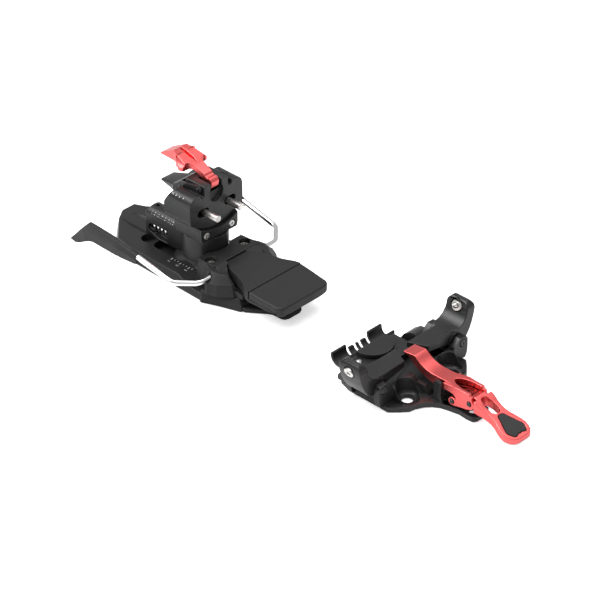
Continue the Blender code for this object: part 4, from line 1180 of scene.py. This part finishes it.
@dataclass
class ToePlate:
    """Toe plate with bosses, axle walls, deck, boot rest, crampon clip and lever lug."""

    top: float = 3.6
    boss: Point = (17.0, 18.8)
    axle: Point = (35.2, 14.6)
    axle_radius: float = 2.5
    lever_axis: Point = (42.3, 7.0)
    clip_centre: Point = (-37.6, 7.2)

    def build(self) -> None:
        """Build the plate and what is fixed to it."""
        deliver(self.plate(), "plates", BLACK, ["toe_base"])
        deliver(self.boot_rest(), "plates", PLASTIC, ["boot_rest"])
        deliver(self.clip(), "plates", PLASTIC, ["crampon_clip"])
        deliver(cross_pin("lever_cross_pin", self.lever_axis), "plates", DARK, ["lever_pin"])
        for hand in Hand:
            deliver(self.axle_rod(hand), "plates", DARK, [f"jaw_axle_{hand.word}"])
            deliver(self.spring(hand), "plates", STEEL, [f"toe_spring_{hand.word}"])

    def spring(self, hand: Hand) -> bpy.types.Object:
        """Wound spring in the deck's channel."""
        path = []
        turns, steps, pitch, radius = 5, 20, 2.9, 1.1
        for i in range(turns * steps + 1):
            t = 2 * math.pi * i / steps
            path.append((-16 + radius * math.cos(t), (3.5 + pitch * i / steps) * hand.value,
                         5.8 + radius * math.sin(t)))
        return soften(sweep(f"jaw_spring_{hand.word}", path, 0.5, 4), 0)

    def plate(self) -> bpy.types.Object:
        """Machined plate in one body."""
        half = [(-31, 20), (-27.5, 29.4), (-25, 32.4), (-16, 35.2), (16.3, 35.4), (20.8, 31), (25.3, 25.8),
                (26, 21.6), (28.4, 16.6),
                (31.5, 12.8), (35.6, 10.2), (40.4, 8.8), (48.3, 7.2), (54.4, 7.8), (59.2, 7.4), (61, 5)]
        base = slab("toe_base_plate", mirrored(half), 0, self.top)
        cut(base, bar("tool", (53.6, 0, -1), (53.6, 0, 9), 2.9),
            bar("tool", (53.6, 0, 2.2), (53.6, 0, 9), 4.5))
        wall = [(24, 3), (38.2, 3), (39.6, 6), (40, 11), (40, 15.4)] + arc((37, 15.4), 3, 20, 100,
                5) + [(33, 18.6), (28.4, 14.6), (25.6, 9)]
        hub = [(9, 3), (26, 3), (23.4, 8), (21.6, 9.4), (12, 9.6), (9, 8.4)]
        join(base, slab("deck", [(-31, 3), (-10.2, 3), (-10.2, 8.6), (-31, 8.6)], -20, 20, Plane.SIDE))
        join(base, slab("hub", hub, -9, 9, Plane.SIDE))
        lug = [(24, 3), (48.6, 3), (46, 6), (45.1, 7.4)] + arc(self.lever_axis, 3.1, 10, 150,
                8) + [(38, 6.2), (24, 6.2)]
        join(base, slab("lug", lug, -4.6, 4.6, Plane.SIDE))
        for hand in Hand:
            s = hand.value
            outline = sided_front(wall, s)
            join(base, slab("wall", outline, 8.6, 13.2, Plane.FRONT),
                 slab("wall", outline, -14.2, -9.7, Plane.FRONT))
            shoulder = [(-27, 3), (-14, 3), (-14, 12.4), (-15.6, 13.4), (-20, 12.6), (-24.6, 9.4), (-27, 6)]
            join(base, slab("shoulder", shoulder, *sorted((23 * s, 33.8 * s)), Plane.SIDE))
            post = [(28.4, 3), (36.8, 3), (35.2, 8), (35, 17.5), (32, 17.7), (29.6, 16.7), (29.7, 8)]
            join(base, slab("post", post, *sorted((7.5 * s, 9.5 * s)), Plane.SIDE))
            x, y = self.boss[0], self.boss[1] * s
            back_wall = [(8.9, 3), (22, 3), (17, 7.4), (14.6, 11.4), (13, 12.6), (8.9, 12.9)]
            join(base, slab("back_wall", back_wall, *sorted((8 * s, 27 * s)), Plane.SIDE))
            bowl = [(4.6, 1.9), (5.8, 2.3), (7.0, 3.2), (7.8, 4.6), (8.2, 16)]
            cut(base, lathe("tool", bowl, (x + 0.6, y, 0), (0, 0, 1)))
            cut(base, bar("tool", (x, y, -1), (x, y, 4), 3.6))
            join(base, block("side_rail", (-8.6, min(33.7 * s, 35.2 * s), 3),
                             (7.4, max(33.7 * s, 35.2 * s), 7.4)))
            ay, az = self.axle
            cut(base, bar("tool", (-15, ay * s, az), (15, ay * s, az), self.axle_radius + 0.3))
            cut(base, slab("tool", sided([(-8.6, 24.5), (7.4, 24.5), (7.4, 33.5), (-8.6, 33.5)], hand), 1.6,
                           8))
        cut(base, block("tool", (-18.7, -20.5, 3.7), (-13.3, 20.5, 7.8)),
            block("tool", (8, -5.8, 6), (26.5, 5.8, 12)))
        x, z = self.lever_axis
        cut(base, bar("tool", (x, -6, z), (x, 6, z), 1.8, 24))
        return soften(base, 0.35, 2, merge=False)

    def boot_rest(self) -> bpy.types.Object:
        """Half-round rest with a rounded edge."""
        rim = arc((-29, 0), 13.2, -85, 85, 24)
        outline = [(-30.7, -13.4)] + rim + [(-30.7, 13.4)]
        rest = slab("boot_toe_rest", outline, 8.9, 11.8)
        return soften(rest, 0.5, 3)

    def clip(self) -> bpy.types.Object:
        """Two open channels and three small hooks for a crampon's hinge bar."""
        outer, inner = 6.2, 4.5
        channel = (arc(self.clip_centre, outer, 172, 360, 22) + [(-31.4, 8.6), (-32.4, 9.2), (-33.2, 8.4)]
                   + arc(self.clip_centre, inner, 358, 176, 20) + [(-42.3, 8.4), (-43.5, 8.9)])
        clip = block("crampon_receiver", (-33.2, -22.3, 1.2), (-31.3, 22.3, 8.2))
        for side in (-1, 1):
            join(clip, slab("channel", channel, *sorted((9.8 * side, 22.3 * side)), Plane.SIDE))
        hook = (arc(self.clip_centre, outer, 196, 350, 14) + arc(self.clip_centre, inner, 350, 200, 14))
        for low, high in ((-7.4, -3.4), (-0.9, 0.9), (3.4, 7.4)):
            join(clip, slab("hook", hook, low, high, Plane.SIDE))
        return soften(clip, 0.22, 2)

    def axle_rod(self, hand: Hand) -> bpy.types.Object:
        """Jaw axle with a chamfered, dimpled end."""
        y, z = self.axle
        rod = lathe(f"jaw_rod_{hand.word}", [(0.8, 0.3), (1.1, 0), (2.0, 0), (2.5, 0.5), (2.5, 27.1),
                                             (2.0, 27.6), (1.1, 27.6), (0.8, 27.2)],
                    (-14, y * hand.value, z), (1, 0, 0), 40)
        return soften(rod, 0)


def cross_pin(name: str, axis: Point) -> bpy.types.Object:
    """Cross pin of the lever or its handle, with a dimple in each end."""
    x, z = axis
    pin = lathe(name, [(0.55, 0.3), (0.7, 0), (1.2, 0), (1.5, 0.35), (1.5, 15.45), (1.2, 15.8), (0.7, 15.8),
                       (0.55, 15.5)],
                (x, -7.9, z), (0, 1, 0), 32)
    return soften(pin, 0)


@dataclass
class ToeJaws:
    """Two jaws that close on the boot, each with a pin, collar and nut."""

    axle: Point = (35.2, 14.6)
    pin_tip: Point = (41.1, 32.8)
    pin_slope: float = 21.5
    pin_x: float = -1.0
    barrel_ends: Point = (-9.3, 8.3)

    def build(self) -> None:
        """Build both jaws."""
        for hand in Hand:
            body = f"jaw_{hand.word}"
            deliver(self.jaw(hand), body, BLACK, [f"toe_jaw_{hand.word}"])
            deliver(self.pin(hand), body, STEEL, [f"toe_pin_{hand.word}"])
            deliver(self.nut(hand), body, STEEL, [f"toe_nut_{hand.word}"])

    def along(self, hand: Hand, back: float) -> Place:
        """A point on the toe pin's axis, so many millimetres back from its tip."""
        y, z = self.pin_tip
        slope = math.radians(self.pin_slope)
        return (self.pin_x, (y + back * math.cos(slope)) * hand.value, z - back * math.sin(slope))

    def outwards(self, hand: Hand) -> Place:
        """Direction of the pin's axis, away from the boot."""
        slope = math.radians(self.pin_slope)
        return (0, math.cos(slope) * hand.value, -math.sin(slope))

    def jaw(self, hand: Hand) -> bpy.types.Object:
        """Flat wing, barrel and upright arm with a rounded head.

        Args:
            hand: Side of the jaw.

        Returns:
            The mesh object.
        """
        s = hand.value
        y, z = self.axle
        plan = [(-6.2, 5.2), (6.9, 10.6), (8.2, 31), (8.2, 38), (-7.6, 38), (-7.6, 33), (-5.2, 30)]
        jaw = slab(f"pin_jaw_{hand.word}", sided(plan, hand), 12, 26)
        wing = [(4, 17.2), (12, 16.4), (28, 14.6), (38, 14.6), (38, 21.4), (33, 21.6), (31, 21.9), (4, 20.9)]
        trim(jaw, slab("tool", sided_front(wing, s), -12, 12, Plane.FRONT))
        chamfer = [[mm(px, py * s, pz) for px, py, pz in ring] for ring in (
            ((6.2, 9, 22.5), (12, 9, 22.5), (12, 9, 17.8)), ((5.4, 36, 23.4), (12, 36, 23.4), (12, 36, 17)))]
        cut(jaw, loft("tool", chamfer))
        back, ahead = self.barrel_ends
        join(jaw, bar("barrel", (back, y * s, z), (ahead, y * s, z), 6.2, 40))
        view = [(41, 10.8), (44, 12.8), (47, 17), (49.2, 21.8), (50.8, 27), (51.6, 31), (51.4, 33.6),
                (50.4, 35.4), (48.6, 36.2),
                (46.6, 35.8), (45.2, 34.2), (44.7, 32), (44.4, 29.6), (43.4, 27.2), (41.2, 24.2),
                (38, 22.2), (34, 21.2), (33, 14)]
        arm = slab("arm", sided_front(view, s), back, ahead, Plane.FRONT)
        front = ([(back, 8), (ahead, 8), (ahead, 22), (8.2, 29)] + arc((2.6, 30.6), 5.6, 0, 84, 8)
                 + arc((-4.2, 31.0), 5.1, 96, 180, 8) + [(back, 26)])
        trim(arm, slab("tool", front, -60, 60, Plane.SIDE))
        join(jaw, arm)
        cut(jaw, bar("tool", (-15, y * s, z), (15, y * s, z), 2.8))
        aim = self.outwards(hand)
        for radius, behind, depth in ((2.3, -6, 22), (4.1, 9.4, 8), (4.3, -1, 6.2)):
            cut(jaw, lathe("tool", [(radius, 0), (radius, depth)], self.along(hand, behind), aim))
        return soften(jaw, 0.5, 3)

    def pin(self, hand: Hand) -> bpy.types.Object:
        """Pin with a rounded conical tip, stepped collar and shank."""
        profile = [(0.45, 0), (0.75, 0.15), (1.3, 0.9), (1.9, 2.0), (2.0, 2.6), (2.0, 3.5), (2.7, 3.6),
                   (3.5, 3.7), (3.7, 3.95), (3.7, 4.9), (2.05, 5.0), (2.0, 8.9)]
        pin = lathe(f"boot_toe_pin_{hand.word}", profile, self.along(hand, 0), self.outwards(hand), 48)
        return soften(pin, 0)

    def nut(self, hand: Hand) -> bpy.types.Object:
        """Round nut with a hexagon socket."""
        aim = self.outwards(hand)
        nut = lathe(f"pin_nut_{hand.word}", [(3.3, 0), (3.6, 0.3), (3.6, 1.6), (3.2, 2.0)],
                    self.along(hand, 9.6), aim, 48)
        cut(nut, lathe("tool", [(1.7, 0), (1.7, 4)], self.along(hand, 10.4), aim, 6))
        return soften(nut, 0.15, 2)


@dataclass
class ToeLever:
    """Red lever with its fork, and the hinged handle with a rubber pad."""

    axis: Point = (42.3, 7.0)
    hinge: Point = (55.8, 11.5)
    top: tuple[Point, ...] = ((57.6, 16.2), (61, 15.3), (66, 12.9), (71, 10.9), (76, 9.3), (82, 7.1),
                              (88, 5.2), (92, 4.1), (93.4, 3.7))
    pin_hole: float = 1.75
    pad_half: tuple[Point, ...] = ((74.2, 1.6), (75.4, 2.9), (77.6, 3.7), (80, 4.8), (82.6, 6.0),
                                   (85.4, 7.3), (87.4, 7.5), (88.6, 6.7),
                                   (89.4, 6.3), (90.6, 5.6), (91.2, 4.2), (90.9, 2.8), (90.2, 1.6),
                                   (90.5, 0.8))

    def build(self) -> None:
        """Build the lever, the handle and its pad."""
        deliver(self.lever(), "lever", RED, ["lever_body"])
        deliver(cross_pin("handle_cross_pin", self.hinge), "lever", DARK, ["handle_pin"])
        deliver(self.handle(), "handle", RED, ["lever_handle"])
        deliver(self.pad(), "handle", RUBBER, ["handle_pad"])

    def lever(self) -> bpy.types.Object:
        """Flat nose, curved web and two cheeks round a tapering window."""
        upper = [(0.6, 22.7), (5, 23.2), (9.2, 23.7), (10.6, 23.3), (12.4, 21.9), (15, 20.0), (18.4, 18.6),
                 (22, 17.8), (26, 17.5),
                 (31, 17.6), (37, 18), (46, 18.2), (55.4, 18.2)]
        lower = [(55.4, 15), (53, 14.4), (37, 14), (34.6, 11.6), (32.4, 10.3), (28, 10.4), (23.7, 11.3),
                 (18, 12.9), (13, 14.9), (9, 17.4),
                 (6.4, 20.2), (4, 21.2), (0.6, 21.2)]
        lever = slab("toe_lever", upper + lower, -7.2, 7.2, Plane.SIDE)
        plan = [(0, 5.0), (2, 5.2), (10, 5.2), (36, 5.4), (40, 6.2), (44, 7.1), (48, 7.2), (56, 7.2)]
        trim(lever, slab("tool", mirrored(plan), 5, 30))
        cheek = [(35, 17.2), (35, 12.8), (39, 12.9), (43, 12.5), (45.2, 10.6), (44.6, 9.4)] + arc(self.axis,
                2.9, 80, 292, 14)
        cheek += [(50, 5.9), (54, 6.6), (57.6, 7.8), (59.4, 9.8), (59.4, 12.6), (57.8, 14.4), (57.6, 16.4),
                  (55.8, 16.6), (55.4, 18.2), (44, 18)]
        for low, high in ((5.1, 7.2), (-7.2, -5.1)):
            join(lever, slab("cheek", cheek, low, high, Plane.SIDE))
        window = [(38.6, 0.6), (39.6, 1.9), (42, 3.3), (46, 4.4), (49, 4.9), (62, 4.9)]
        cut(lever, slab("tool", mirrored(window), 5, 30))
        for x, z in (self.axis, self.hinge):
            cut(lever, bar("tool", (x, -9, z), (x, 9, z), self.pin_hole, 24))
        return soften(lever, 0.4, 3)

    def layer(self, above: float, below: float) -> list[Point]:
        """Side view of a layer along the handle's top."""
        return [(x, z + above) for x, z in self.top] + [(x, z + below) for x, z in reversed(self.top)]

    def handle(self) -> bpy.types.Object:
        """Hour-glass handle with knuckle, eye and pad recess."""
        under = [(93.4, 0.3), (86, 0.5), (80, 1.9), (74, 4.1), (66, 6.8), (58.6, 8.6)]
        knuckle = arc(self.hinge, 3.6, 300, 84, 14)
        handle = slab("toe_handle", list(self.top) + under + knuckle, -10, 10, Plane.SIDE)
        plan = [(50, 4.7), (59.7, 4.7), (59.9, 8.0), (61.4, 8.3), (64, 7.8), (67, 7.0), (70, 6.6),
                (73, 6.5), (76, 7.0), (79.4, 8.3),
                (83, 9.5), (86, 9.9), (89, 9.4), (91.4, 8.2), (93, 6.2), (93.4, 3.6)]
        trim(handle, slab("tool", mirrored(plan), -1, 25))
        eye = arc((63.2, 0), 2.9, 250, 110, 10) + [(65.6, 3.5)] + arc((69.2, 0), 3.7, 70, -70,
                12) + [(65.6, -3.5)]
        cut(handle, slab("tool", eye, -1, 25))
        recess = slab("tool", self.layer(4, -1.2), -10, 10, Plane.SIDE)
        trim(recess, slab("tool", mirrored(self.pad_half), -1, 25))
        cut(handle, recess)
        x, z = self.hinge
        cut(handle, bar("tool", (x, -9, z), (x, 9, z), self.pin_hole, 24))
        return soften(handle, 0.55, 3)

    def pad(self) -> bpy.types.Object:
        """Rubber insert with a soft edge, in the handle's recess."""
        centre = Vector((83.2, 0))
        outline = []
        for x, y in mirrored(self.pad_half):
            out = Vector((x, y)) - centre
            outline.append(tuple(centre + out * (1 - 0.32 / max(out.length, 1))))
        pad = slab("handle_rubber_pad", self.layer(0.15, -1.15), -10, 10, Plane.SIDE)
        trim(pad, slab("tool", outline, -1, 25))
        return soften(pad, 0.3, 3, 40)


# ------------------------------------------------------------------ studio

@dataclass
class Studio:
    """Pale floor, soft light and the camera."""

    target: Place = (-91.5, 0.0, 14.4)
    azimuth: float = 44.23
    elevation: float = 33.61
    distance: float = 1.875
    lens: float = 180.0
    sky: float = 0.55
    lamps: tuple[tuple[str, Place, float, float], ...] = (("key", (-0.75, -0.75, 1.25), 1.1, 24),
                                                          ("top", (-0.05, 0.25, 1.5), 1.4, 15))

    def build(self) -> None:
        """Add the floor, lights and camera."""
        self.floor()
        self.lights()
        self.camera()

    def floor(self) -> None:
        """A plain, very pale floor."""
        start_fresh()
        bpy.ops.mesh.primitive_plane_add(size=8, location=(0, 0, -0.0004))
        ground = bpy.context.object
        ground.name = "floor"
        bpy.ops.object.transform_apply(location=True, rotation=True, scale=True)
        paint = bpy.data.materials.new("pale_floor")
        paint.use_nodes = True
        shader = paint.node_tree.nodes["Principled BSDF"]
        shader.inputs["Base Color"].default_value = (0.9, 0.9, 0.9, 1)
        shader.inputs["Roughness"].default_value = 0.9
        shader.inputs["Specular IOR Level"].default_value = 0.1
        seen = paint.node_tree.nodes.new("ShaderNodeLightPath").outputs["Is Camera Ray"]
        shader.inputs["Emission Color"].default_value = (1, 1, 1, 1)
        glow = math_node(paint.node_tree, "MULTIPLY", seen, 0.5)
        paint.node_tree.links.new(glow, shader.inputs["Emission Strength"])
        ground.data.materials.append(paint)

    def lights(self) -> None:
        """Soft overhead light with a broad key from the rear right."""
        world = bpy.data.worlds.new("studio")
        bpy.context.scene.world = world
        world.use_nodes = True
        sky = world.node_tree.nodes["Background"]
        sky.inputs["Color"].default_value = (1, 1, 1, 1)
        sky.inputs["Strength"].default_value = self.sky
        for name, place, size, power in self.lamps:
            light = bpy.data.lights.new(name, "AREA")
            light.shape = "DISK"
            light.size = size
            light.energy = power
            lamp = bpy.data.objects.new(name, light)
            bpy.context.scene.collection.objects.link(lamp)
            lamp.location = place
            aim = Vector(mm(*self.target)) - Vector(place)
            lamp.rotation_euler = aim.to_track_quat("-Z", "Y").to_euler()

    def camera(self) -> None:
        """Long lens looking down on the binding from its front right."""
        turn, rise = math.radians(self.azimuth), math.radians(self.elevation)
        view = Vector((-math.sin(turn) * math.cos(rise), math.cos(turn) * math.cos(rise), -math.sin(rise)))
        lens = bpy.data.cameras.new("camera")
        lens.lens = self.lens
        lens.sensor_width = 36
        eye = bpy.data.objects.new("camera", lens)
        bpy.context.scene.collection.objects.link(eye)
        eye.location = Vector(mm(*self.target)) - view * self.distance
        eye.rotation_euler = view.to_track_quat("-Z", "Y").to_euler()
        bpy.context.scene.camera = eye


def main() -> None:
    """Build the binding from the heel to the toe, then the studio."""
    Studio().build()
    for assembly in (HeelPlate(), Carriage(), Turret(), ClimbingFlaps(), SkiBrake(), ToePlate(), ToeJaws(),
                     ToeLever()):
        assembly.build()
        LOG.info("%s is built", type(assembly).__name__)
    bpy.context.scene.view_settings.view_transform = "Standard"


if __name__ == "__main__":
    main()
